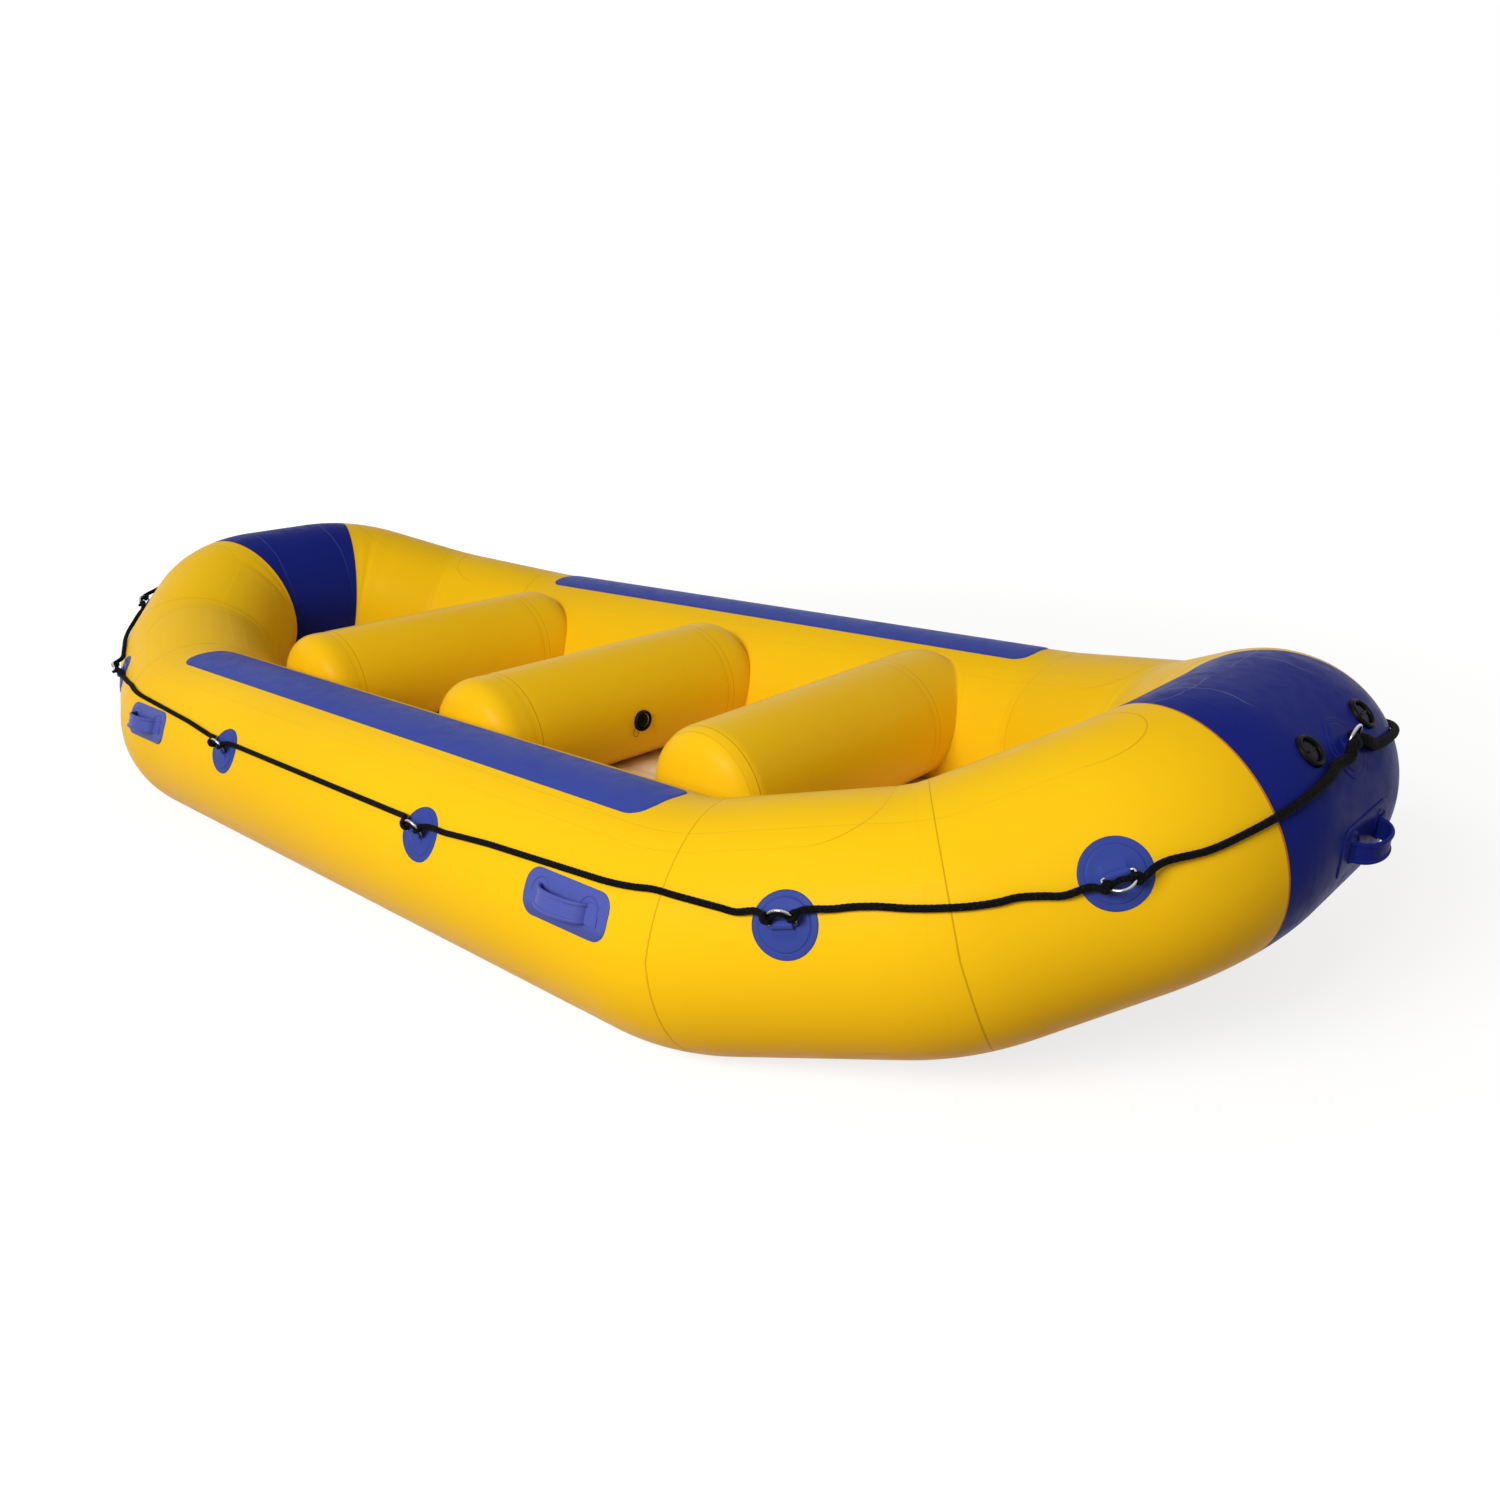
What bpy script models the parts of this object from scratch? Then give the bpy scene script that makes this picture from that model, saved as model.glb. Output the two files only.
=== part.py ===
"""Whitewater raft: a rockered ring of air tubes with three thwarts, an inflated floor and a grab line.

Metres, +Z up. +X is the bow and +Y is port. The origin is on the ground under the raft's middle.
"""

from math import atan2, ceil, cos, pi, radians, sin, sqrt, tan

import bmesh
import bpy
from mathutils import Matrix, Vector

UP = Vector((0, 0, 1))

# Clearances
SEAT_GAP = 0.0003
CUT_OVERRUN = 0.004
WRAP_DIP = 0.0006

# Tube ring: overall size, then each corner of its plan from the one before it
RAFT_LENGTH = 4.355
RAFT_WIDTH = 1.986
TUBE_DIAMETER = 0.52
TUBE_SIDES = 24
QUARTER_LONG = 0.462
QUARTER_IN = 0.192
QUARTER_RISE = 0.083
NOSE_LONG = 0.305
NOSE_RISE = 0.149
END_HALF_WIDTH = 0.248
CORNER_REACHES = (0.08, 0.08, 0.13)
TUBE_BEND_SHARES = (0, 1 / 3, 2 / 3, 1)
JOINT_BEND_SHARE = 0.6

# Thwarts
THWART_DIAMETER = 0.362
FRONT_THWART_X = 0.77
MIDDLE_THWART_X = -0.05
REAR_THWART_X = -1.0
THWART_STRAIGHT_HALF = 0.40
THWART_DOME = 0.16
THWART_SIDES = 20
DOME_STEPS = 3

# Inflated floor
FLOOR_CLEARANCE = 0.02
FLOOR_THICKNESS = 0.13
FLOOR_EDGE_UNDER_TUBE = 0.12
FLOOR_STEPS = 14
ROCKER_POWER = 1.8

# Wear strips along the tops of the side tubes
STRIP_LENGTH = 2.14
STRIP_WIDTH = 0.165
STRIP_THICKNESS = 0.0025
STRIP_CORNER = 0.05

# Patches that carry the D-rings
PATCH_DIAMETER = 0.128
PATCH_EDGE = 0.002
PATCH_RIM = 0.003
PATCH_CENTRE = 0.005
PATCH_STEP_SHARE = 0.78
PATCH_SIDES = 16
KEEPER_LENGTH = 0.045
KEEPER_RADIUS = 0.008
KEEPER_SIDES = 8
KEEPER_HEIGHT = 0.0105

# D-rings
WIRE_DIAMETER = 0.006
WIRE_SIDES = 6
RING_HALF_WIDTH = 0.0285
RING_HEIGHT = 0.038
RING_CORNER = 0.005
RING_ARC_STEPS = 5
RING_CLEARANCE = 0.0007
RING_TILT = radians(48)

# Places round the tube ring: distance from the side's middle, and angle above the level
RING_DISTANCES = (0.49, 1.433, 1.947)
RING_LABELS = ("mid", "quarter", "nose")
RING_ANGLES = (radians(26), radians(25), radians(23))
END_RING_ANGLE = radians(36)
HANDLE_DISTANCE = 1.01
HANDLE_ANGLE = radians(23)
END_HANDLE_ANGLE = radians(-4)
# The end tubes' skin lies this much inside its circle where the bends draw it in
END_HANDLE_SINK = 0.0009
VALVE_FROM_END = 0.128
VALVE_ANGLE = radians(43)

# Handles
HANDLE_LENGTH = 0.245
HANDLE_WIDTH = 0.105
HANDLE_CORNER = 0.035
HANDLE_PATCH = 0.003
STRAP_LENGTH = 0.145
STRAP_WIDTH = 0.042
STRAP_THICKNESS = 0.004
STRAP_RIB = 0.008
STRAP_STEPS = 8
SIDE_STAND_OFF = 0.028
END_STAND_OFF = 0.040

# Grab line
ROPE_DIAMETER = 0.012
ROPE_SIDES = 6
ROPE_OFFSET = 0.0135
ROPE_CROSSING = 0.027
ROPE_LEAD = 0.075
ROPE_FRONT_HEIGHT = 0.027
ROPE_BACK_HEIGHT = 0.0145
ROPE_BACK_SHIFT = 0.02
ROPE_BEND_SHARES = (0.2, 0.8)

# Valves
FLANGE_RADIUS = 0.031
FLANGE_PROUD = 0.0035
FLANGE_SINK = 0.0032
FLANGE_SLOPE = 0.002
BARREL_RADIUS = 0.0225
BARREL_DEPTH = 0.045
RECESS_RADIUS = 0.0245
AIRWAY_RADIUS = 0.0165
AIRWAY_DEPTH = 0.03
FLANGE_FLOOR = 0.0018
CAP_DOME = 0.002
PLUG_DEPTH = 0.012
CAP_CLEARANCE = 0.0005
LUG_LENGTH = 0.032
LUG_WIDTH = 0.006
LUG_HEIGHT = 0.0022
VALVE_SIDES = 12
THWART_VALVE_Y = 0.035
THWART_VALVE_ANGLE = radians(-5)
FLOOR_VALVE_Y = 0.3

# Sizes that follow from the driving ones
tube_radius = TUBE_DIAMETER / 2
flat_share = cos(pi / TUBE_SIDES)
side_axis_y = RAFT_WIDTH / 2 - tube_radius
side_axis_z = tube_radius * flat_share
end_axis_x = RAFT_LENGTH / 2 - tube_radius
end_rise = QUARTER_RISE + NOSE_RISE
nose_corner_x = end_axis_x - NOSE_LONG
side_corner_x = nose_corner_x - QUARTER_LONG
floor_top = FLOOR_CLEARANCE + FLOOR_THICKNESS
thwart_radius = THWART_DIAMETER / 2
thwart_axis_z = floor_top + SEAT_GAP + thwart_radius
wire_radius = WIRE_DIAMETER / 2
rope_radius = ROPE_DIAMETER / 2
rope_through = KEEPER_RADIUS * cos(pi / KEEPER_SIDES) + rope_radius + SEAT_GAP
# A sheet wrapped in slices this wide dips by WRAP_DIP between its vertices
slice_width = sqrt(8 * tube_radius * WRAP_DIP)
wrap_foot = WRAP_DIP + SEAT_GAP


class Straight:
    """Straight stretch of a centre line."""

    def __init__(self, start, end):
        self.start = start
        self.way = (end - start).normalized()
        self.length = (end - start).length

    def at(self, distance):
        return self.start + self.way * distance, self.way


class Bend:
    """Arc that rounds one corner of a centre line, reaching as far along both of its sides."""

    def __init__(self, before, corner, after, reach):
        back = (before - corner).normalized()
        ahead = (after - corner).normalized()
        half_angle = back.angle(ahead) / 2
        self.radius = reach * tan(half_angle)
        self.centre = corner + (back + ahead).normalized() * reach / cos(half_angle)
        self.start = corner + back * reach
        self.end = corner + ahead * reach
        self.arm = self.start - self.centre
        self.axis = self.arm.cross(self.end - self.centre).normalized()
        self.length = self.radius * (pi - 2 * half_angle)

    def at(self, distance):
        arm = Matrix.Rotation(distance / self.radius, 3, self.axis) @ self.arm
        return self.centre + arm, self.axis.cross(arm).normalized()


class TubeLine:
    """Closed centre line of the tube ring, walked by distance from the middle of its starboard side."""

    def __init__(self, corners, reaches):
        middle = (corners[0] + corners[-1]) / 2
        self.pieces = []
        here = middle
        for index, corner in enumerate(corners):
            after = corners[(index + 1) % len(corners)]
            bend = Bend(corners[index - 1], corner, after, reaches[index])
            self.pieces += [Straight(here, bend.start), bend]
            here = bend.end
        self.pieces.append(Straight(here, middle))
        self.length = sum(piece.length for piece in self.pieces)

    def at(self, distance):
        """Centre of the tube and the way that it runs there."""
        left = distance % self.length
        for piece in self.pieces:
            if left <= piece.length:
                break
            left -= piece.length
        return piece.at(left)

    def marks(self, start, end, bend_shares):
        """Distances inside a stretch at the given shares of its bends."""
        found = []
        offset = -self.length
        for piece in self.pieces * 3:
            if isinstance(piece, Bend):
                found += [offset + piece.length * share for share in bend_shares]
            offset += piece.length
        return [mark for mark in found if start < mark < end]


def quarter_corners():
    """The three corners of the starboard bow quarter, from the side to the end."""
    side = Vector((side_corner_x, -side_axis_y, side_axis_z))
    nose = side + Vector((QUARTER_LONG, QUARTER_IN, QUARTER_RISE))
    end = Vector((end_axis_x, -END_HALF_WIDTH, side_axis_z + end_rise))
    return [side, nose, end]


def tube_line():
    """Centre line of the whole ring, anticlockwise from above."""
    bow = quarter_corners()
    port = [Vector((c.x, -c.y, c.z)) for c in reversed(bow)]
    stern = [Vector((-c.x, -c.y, c.z)) for c in bow]
    back = [Vector((-c.x, c.y, c.z)) for c in reversed(bow)]
    reaches = CORNER_REACHES + CORNER_REACHES[::-1]
    return TubeLine(bow + port + stern + back, reaches * 2)


line = tube_line()
quarter_length = line.length / 4
joint_distance = sum(piece.length for piece in line.pieces[:5]) + line.pieces[5].length * JOINT_BEND_SHARE
end_reach = quarter_length - joint_distance
# Joints at which each tube starts and ends, in order round the ring
tube_stretches = {
    "starboard": (-joint_distance, joint_distance),
    "bow": (quarter_length - end_reach, quarter_length + end_reach),
    "port": (2 * quarter_length - joint_distance, 2 * quarter_length + joint_distance),
    "stern": (3 * quarter_length - end_reach, 3 * quarter_length + end_reach),
}


def clear_scene():
    for thing in list(bpy.data.objects):
        bpy.data.objects.remove(thing, do_unlink=True)


def new_collection(name):
    group = bpy.data.collections.new(name)
    bpy.context.scene.collection.children.link(group)
    return group


clear_scene()
raft = new_collection("whitewater_raft")
workshop = new_collection("workshop")


def material(name, colour, roughness, metallic=0.0):
    made = bpy.data.materials.new(name)
    made.use_nodes = True
    shader = made.node_tree.nodes["Principled BSDF"]
    shader.inputs["Base Color"].default_value = (*colour, 1)
    shader.inputs["Roughness"].default_value = roughness
    shader.inputs["Metallic"].default_value = metallic
    made.diffuse_color = (*colour, 1)
    return made


yellow_pvc = material("yellow_pvc", (0.90, 0.60, 0.03), 0.38)
blue_pvc = material("blue_pvc", (0.03, 0.04, 0.25), 0.42)
floor_pvc = material("floor_pvc", (0.62, 0.60, 0.55), 0.5)
patch_pvc = material("patch_pvc", (0.08, 0.10, 0.48), 0.45)
steel = material("steel", (0.75, 0.75, 0.77), 0.2, 1.0)
black_rope = material("black_rope", (0.012, 0.012, 0.014), 0.85)
black_plastic = material("black_plastic", (0.015, 0.015, 0.017), 0.45)


def add_object(name, data, group=None):
    made = bpy.data.objects.new(name, data)
    (group or workshop).objects.link(made)
    return made


def meshed(source):
    """The evaluated shape of an object as a plain mesh object in the world frame; the source is removed."""
    bpy.context.view_layer.update()
    graph = bpy.context.evaluated_depsgraph_get()
    data = bpy.data.meshes.new_from_object(source.evaluated_get(graph), depsgraph=graph)
    data.transform(source.matrix_world)
    name = source.name
    bpy.data.objects.remove(source, do_unlink=True)
    form = bmesh.new()
    form.from_mesh(data)
    bmesh.ops.remove_doubles(form, verts=form.verts, dist=SEAT_GAP / 30)
    bmesh.ops.recalc_face_normals(form, faces=form.faces)
    form.to_mesh(data)
    form.free()
    return add_object(name, data)


def boolean(target, tool, operation):
    """Cuts a tool from a mesh object or joins it on, and uses the tool up."""
    cut = target.modifiers.new(operation.lower(), "BOOLEAN")
    cut.operation = operation
    cut.solver = "EXACT"
    cut.object = tool
    result = meshed(target)
    bpy.data.objects.remove(tool, do_unlink=True)
    return result


def copy_of(source, name):
    return add_object(name, source.data.copy())


def finish(shape, name, paint, place=None):
    """Names a finished solid, paints it and puts it in the raft's collection."""
    shape.name = name
    shape.data.materials.clear()
    shape.data.materials.append(paint)
    shape.data.shade_smooth()
    shape.data.set_sharp_from_angle(angle=radians(35))
    if place is not None:
        shape.matrix_world = place
    workshop.objects.unlink(shape)
    raft.objects.link(shape)
    return shape


def swept(name, points, radius, sides, cyclic=False, tilt=0.0):
    """Round bar along points."""
    curve = bpy.data.curves.new(name, "CURVE")
    curve.dimensions = "3D"
    curve.twist_mode = "Z_UP"
    curve.fill_mode = "FULL"
    curve.bevel_depth = radius
    curve.bevel_resolution = (sides - 4) // 2
    curve.use_fill_caps = not cyclic
    spline = curve.splines.new("POLY")
    spline.points.add(len(points) - 1)
    for spot, point in zip(spline.points, points):
        spot.co = (*point, 1)
        spot.tilt = tilt
    spline.use_cyclic_u = cyclic
    return meshed(add_object(name, curve))


def plate(name, outline, thickness):
    """Flat outline in the XY plane, from its face at zero up to its thickness."""
    curve = bpy.data.curves.new(name, "CURVE")
    curve.dimensions = "2D"
    curve.fill_mode = "BOTH"
    curve.extrude = thickness / 2
    spline = curve.splines.new("POLY")
    spline.points.add(len(outline) - 1)
    for spot, (x, y) in zip(spline.points, outline):
        spot.co = (x, y, 0, 1)
    spline.use_cyclic_u = True
    made = add_object(name, curve)
    made.location.z = thickness / 2
    return meshed(made)


def turned(name, profile, sides):
    """Solid of revolution about Z from a profile at +X that runs down its outer side."""
    data = bpy.data.meshes.new(name)
    spots = [(x, 0, z) for x, z in profile]
    data.from_pydata(spots, [(i, i + 1) for i in range(len(spots) - 1)], [])
    made = add_object(name, data)
    turn = made.modifiers.new("turn", "SCREW")
    turn.axis = "Z"
    turn.steps = sides
    turn.render_steps = sides
    turn.use_merge_vertices = True
    turn.merge_threshold = SEAT_GAP / 30
    return meshed(made)


def rod(name, radius, length, sides, turn=0.0):
    """Plain cylinder along X, centred on the origin."""
    form = bmesh.new()
    bmesh.ops.create_cone(form, cap_ends=True, segments=sides, radius1=radius, radius2=radius,
                          depth=length, matrix=Matrix.Rotation(pi / 2, 4, "Y") @ Matrix.Rotation(turn, 4, "Z"))
    data = bpy.data.meshes.new(name)
    form.to_mesh(data)
    form.free()
    return add_object(name, data)


def rounded_box_outline(length, width, corner, steps=4):
    """Rectangle about the origin with round corners, anticlockwise."""
    spots = []
    for quarter, (sx, sy) in enumerate(((1, 1), (-1, 1), (-1, -1), (1, -1))):
        for step in range(steps + 1):
            angle = (quarter + step / steps) * pi / 2
            spots.append((sx * (length / 2 - corner) + corner * cos(angle),
                          sy * (width / 2 - corner) + corner * sin(angle)))
    return spots


def wrap(shape, width):
    """Bends a flat sheet about X onto the tube, after slicing it along its width."""
    form = bmesh.new()
    form.from_mesh(shape.data)
    bmesh.ops.dissolve_verts(form, verts=[vert for vert in form.verts if vert.co.xy.length < SEAT_GAP])
    slices = ceil(width / slice_width)
    for index in range(1, slices):
        across = width * (index / slices - 1 / 2)
        everything = form.verts[:] + form.edges[:] + form.faces[:]
        bmesh.ops.bisect_plane(form, geom=everything, dist=SEAT_GAP / 30,
                               plane_co=(0, across, 0), plane_no=(0, 1, 0))
    for vert in form.verts:
        angle = vert.co.y / tube_radius
        reach = tube_radius + vert.co.z
        vert.co.y = reach * sin(angle)
        vert.co.z = reach * cos(angle) - tube_radius
    form.to_mesh(shape.data)
    form.free()
    return shape


def tube_seat(distance, angle):
    """Frame on the tube's skin: Z out of it, X along it, Y up over it."""
    centre, way = line.at(distance)
    level = way.cross(UP).normalized()
    over = level.cross(way)
    out = level * cos(angle) + over * sin(angle)
    turn = Matrix((way, out.cross(way), out)).transposed().to_4x4()
    return Matrix.Translation(centre + out * tube_radius) @ turn


def tube_ring(radius):
    """The whole ring as one closed tube, a flat of its section on the ground."""
    points = [line.at(mark)[0] for mark in line.marks(0, line.length, TUBE_BEND_SHARES)]
    ring = swept("tube_ring", points, radius, TUBE_SIDES, cyclic=True, tilt=pi / TUBE_SIDES)
    form = bmesh.new()
    form.from_mesh(ring.data)
    # The skin's quads are twisted at the bends, so tubes and cutters share one way to split them
    bmesh.ops.triangulate(form, faces=form.faces, quad_method="FIXED")
    form.to_mesh(ring.data)
    form.free()
    return ring


def ring_tube(stretch):
    """Air tube along one stretch of the ring, closed where it meets its neighbours."""
    shape = tube_ring(tube_radius)
    form = bmesh.new()
    form.from_mesh(shape.data)
    start, end = (line.at(distance) for distance in stretch)
    middle = (start[0] + end[0]) / 2
    far_half = (Vector(), Vector((-middle.x, -middle.y, 0)).normalized())
    for spot, away in (far_half, (start[0], -start[1]), end):
        everything = form.verts[:] + form.edges[:] + form.faces[:]
        bmesh.ops.bisect_plane(form, geom=everything, dist=SEAT_GAP / 30,
                               plane_co=spot - away * SEAT_GAP / 2, plane_no=away, clear_outer=True)
    bmesh.ops.holes_fill(form, edges=[edge for edge in form.edges if edge.is_boundary])
    bmesh.ops.recalc_face_normals(form, faces=form.faces)
    form.to_mesh(shape.data)
    form.free()
    return shape


def ring_cutter():
    """The whole tube ring, one seat gap larger, for the pieces that are pressed against it."""
    return tube_ring(tube_radius + SEAT_GAP / flat_share)


def valve_pocket(place):
    """Cutter for the seat and bore that a valve body fills."""
    seat = FLANGE_SINK + SEAT_GAP
    rim = FLANGE_RADIUS + SEAT_GAP
    bore = BARREL_RADIUS + SEAT_GAP
    deep = BARREL_DEPTH + SEAT_GAP
    profile = ((0, CUT_OVERRUN), (rim, CUT_OVERRUN), (rim, -seat), (bore, -seat), (bore, -deep), (0, -deep))
    cutter = turned("valve_pocket", profile, VALVE_SIDES)
    cutter.matrix_world = place
    return cutter


def patch_disc(sink):
    """Round patch with a raised middle, wrapped on the tube; sink is how far it starts inside the skin."""
    rim = PATCH_DIAMETER / 2
    step = rim * PATCH_STEP_SHARE
    slope = PATCH_CENTRE - PATCH_RIM
    foot = wrap_foot - sink
    profile = ((0, PATCH_CENTRE), (step, PATCH_CENTRE), (step + slope, PATCH_RIM), (rim, PATCH_EDGE),
               (rim, foot), (0, foot))
    return wrap(turned("patch", profile, PATCH_SIDES), PATCH_DIAMETER)


def ring_patch(sink=0.0):
    """D-ring patch: disc, half-round keeper and the keeper's bore."""
    keeper = rod("keeper", KEEPER_RADIUS, KEEPER_LENGTH, KEEPER_SIDES, pi / KEEPER_SIDES)
    keeper.location.z = KEEPER_HEIGHT
    patch = boolean(patch_disc(sink), keeper, "UNION")
    bore = rod("bore", wire_radius + RING_CLEARANCE, KEEPER_LENGTH + CUT_OVERRUN, KEEPER_SIDES)
    bore.location.z = KEEPER_HEIGHT
    return boolean(patch, bore, "DIFFERENCE")


def ring_outline():
    """D of the ring: its bar on the X axis, its arc towards +Y."""
    flat = RING_HALF_WIDTH - RING_CORNER
    diagonal = RING_CORNER * sin(pi / 4)
    arc = []
    for step in range(RING_ARC_STEPS + 1):
        angle = pi * step / RING_ARC_STEPS
        arc.append((RING_HALF_WIDTH * cos(angle), RING_CORNER + (RING_HEIGHT - RING_CORNER) * sin(angle)))
    right = [(flat, 0), (flat + diagonal, RING_CORNER - diagonal)]
    left = [(-x, y) for x, y in reversed(right)]
    return right + arc + left


def d_ring():
    return swept("d_ring", [(x, y, 0) for x, y in ring_outline()], wire_radius, WIRE_SIDES, cyclic=True)


def ring_place(distance, angle, hanging):
    """Frame of a D-ring on its bar: X along the tube, Y from the bar to the arc, Z out of the ring's plane."""
    tilt = pi - RING_TILT if hanging else RING_TILT
    seat = tube_seat(distance, angle)
    return seat @ Matrix.Translation((0, 0, KEEPER_HEIGHT)) @ Matrix.Rotation(tilt, 4, "X")


def ring_stations():
    """Label, distance, angle and hang of every D-ring, in order round the ring from the starboard middle."""
    stations = []
    for distance, angle, label in zip(RING_DISTANCES, RING_ANGLES, RING_LABELS):
        hanging = label == "nose"
        stations.append((f"starboard_{label}_bow", distance, angle, hanging))
        stations.append((f"port_{label}_bow", 2 * quarter_length - distance, angle, hanging))
        stations.append((f"port_{label}_stern", 2 * quarter_length + distance, angle, False))
        stations.append((f"starboard_{label}_stern", line.length - distance, angle, False))
    stations.append(("bow", quarter_length, END_RING_ANGLE, False))
    stations.append(("stern", 3 * quarter_length, END_RING_ANGLE, False))
    return sorted(stations, key=lambda station: station[1])


def angle_round_tube(distance, spot):
    """Angle round the tube, seen along it at a distance, of a spot beside it."""
    centre, way = line.at(distance)
    level = way.cross(UP).normalized()
    reach = spot - centre
    return atan2(reach.dot(level.cross(way)), reach.dot(level))


def rope_route():
    """Grab line: in front of each ring's first leg, through the ring, and behind its second leg."""
    stations = ring_stations()
    points = []
    for index, (label, distance, angle, hanging) in enumerate(stations):
        ring = ring_place(distance, angle, hanging)
        side = -1 if hanging else 1
        back_angle = angle if hanging else angle + ROPE_BACK_SHIFT / tube_radius
        points.append(tube_seat(distance - ROPE_LEAD, angle) @ Vector((0, 0, ROPE_FRONT_HEIGHT)))
        points.append(ring @ Vector((-ROPE_CROSSING, rope_through, side * ROPE_OFFSET)))
        points.append(ring @ Vector((ROPE_CROSSING, rope_through, -side * ROPE_OFFSET)))
        points.append(tube_seat(distance + ROPE_LEAD, back_angle) @ Vector((0, 0, ROPE_BACK_HEIGHT)))
        _, next_distance, next_angle, _ = stations[(index + 1) % len(stations)]
        if next_distance < distance:
            next_distance += line.length
        start = distance + ROPE_LEAD
        end = next_distance - ROPE_LEAD
        taut = END_RING_ANGLE not in (angle, next_angle)
        before = points[-1]
        after = tube_seat(end, next_angle) @ Vector((0, 0, ROPE_FRONT_HEIGHT))
        for mark in line.marks(start, end, ROPE_BEND_SHARES):
            share = (mark - start) / (end - start)
            height = ROPE_BACK_HEIGHT + share * (ROPE_FRONT_HEIGHT - ROPE_BACK_HEIGHT)
            mark_angle = back_angle + share * (next_angle - back_angle)
            if taut:
                mark_angle = angle_round_tube(mark, before.lerp(after, share))
            points.append(tube_seat(mark, mark_angle) @ Vector((0, 0, height)))
    return points


def strap(stand_off):
    """Arched strap of a handle with a rib along each edge, its feet sunk in the patch."""
    half_web = STRAP_THICKNESS / 2
    half_rib = STRAP_RIB / 2
    edge = STRAP_WIDTH / 2
    inner = edge - STRAP_RIB
    section = [(-edge, -half_rib), (-inner, -half_web), (inner, -half_web), (edge, -half_rib),
               (edge, half_rib), (inner, half_web), (-inner, half_web), (-edge, half_rib)]
    form = bmesh.new()
    rings = []
    foot = HANDLE_PATCH - half_rib / 2
    for step in range(STRAP_STEPS + 1):
        angle = pi * step / STRAP_STEPS
        slope = Vector((STRAP_LENGTH / 2 * sin(angle), 0, stand_off * cos(angle))).normalized()
        lift = Vector((-slope.z, 0, slope.x))
        centre = Vector((-STRAP_LENGTH / 2 * cos(angle), 0, foot + stand_off * sin(angle)))
        rings.append([form.verts.new(centre + Vector((0, y, 0)) + lift * z) for y, z in section])
    for here, there in zip(rings, rings[1:]):
        for index in range(len(section)):
            other = (index + 1) % len(section)
            form.faces.new((here[index], there[index], there[other], here[other]))
    form.faces.new(rings[0])
    form.faces.new(reversed(rings[-1]))
    bmesh.ops.recalc_face_normals(form, faces=form.faces)
    data = bpy.data.meshes.new("strap")
    form.to_mesh(data)
    form.free()
    return add_object("strap", data)


def handle(stand_off):
    """Carrying handle: a wrapped patch with rounded corners and a strap that stands off it."""
    base = plate("handle", rounded_box_outline(HANDLE_LENGTH, HANDLE_WIDTH, HANDLE_CORNER), HANDLE_PATCH)
    base.data.transform(Matrix.Translation((0, 0, wrap_foot)))
    return boolean(wrap(base, HANDLE_WIDTH), strap(stand_off), "UNION")


def valve_body():
    """Turned valve body: flange, barrel, seat for the cap and the airway below it."""
    floor = FLANGE_FLOOR - FLANGE_SINK
    profile = ((0, -AIRWAY_DEPTH), (AIRWAY_RADIUS, -AIRWAY_DEPTH), (AIRWAY_RADIUS, floor), (RECESS_RADIUS, floor),
               (RECESS_RADIUS, FLANGE_PROUD), (FLANGE_RADIUS - FLANGE_SLOPE, FLANGE_PROUD),
               (FLANGE_RADIUS, -FLANGE_SINK), (BARREL_RADIUS, -FLANGE_SINK), (BARREL_RADIUS, -BARREL_DEPTH),
               (0, -BARREL_DEPTH))
    return turned("valve_body", profile, VALVE_SIDES)


def valve_cap():
    """Cap that turns in the body: a domed disc with a grip bar on top and a plug below."""
    flat_share = cos(pi / VALVE_SIDES)
    rim = RECESS_RADIUS * flat_share - CAP_CLEARANCE
    plug = AIRWAY_RADIUS * flat_share - CAP_CLEARANCE
    under = FLANGE_FLOOR - FLANGE_SINK + SEAT_GAP
    top = FLANGE_PROUD - CAP_CLEARANCE
    profile = ((0, top), (rim - CAP_DOME, top), (rim, top - CAP_DOME), (rim, under), (plug, under),
               (plug, under - PLUG_DEPTH), (0, under - PLUG_DEPTH))
    disc = turned("valve_cap", profile, VALVE_SIDES)
    grip = plate("grip", rounded_box_outline(LUG_LENGTH, LUG_WIDTH, LUG_WIDTH / 3, 1), LUG_HEIGHT + CAP_DOME)
    grip.location.z = top - CAP_DOME
    return boolean(disc, grip, "UNION")


def thwart_profile():
    """Half outline of a thwart along its length, from the port end down to the starboard end."""
    dome = []
    for step in range(DOME_STEPS + 1):
        angle = pi / 2 * step / DOME_STEPS
        dome.append((thwart_radius * sin(angle), THWART_STRAIGHT_HALF + THWART_DOME * cos(angle)))
    return dome + [(x, -z) for x, z in reversed(dome)]


def thwart(x, valve_place):
    """Cross tube with domed ends, pressed against the side tubes, with the pocket for its valve."""
    form = turned("thwart", thwart_profile(), THWART_SIDES)
    form.matrix_world = Matrix.Translation((x, 0, thwart_axis_z)) @ Matrix.Rotation(-pi / 2, 4, "X")
    form = boolean(meshed(form), ring_cutter(), "DIFFERENCE")
    return boolean(form, valve_pocket(valve_place), "DIFFERENCE")


def thwart_valve_place(x, facing):
    """Seat of a thwart's valve on its skin, towards the bow or towards the stern."""
    out = Vector((facing * cos(THWART_VALVE_ANGLE), 0, sin(THWART_VALVE_ANGLE)))
    along = Vector((0, 1, 0))
    turn = Matrix((along, out.cross(along), out)).transposed().to_4x4()
    spot = Vector((x, THWART_VALVE_Y, thwart_axis_z)) + out * thwart_radius
    return Matrix.Translation(spot) @ turn


def rocker(x):
    """Height that the floor gains towards the ends."""
    share = max(0, abs(x) - side_corner_x) / (end_axis_x - side_corner_x)
    return end_rise * share ** ROCKER_POWER


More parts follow.
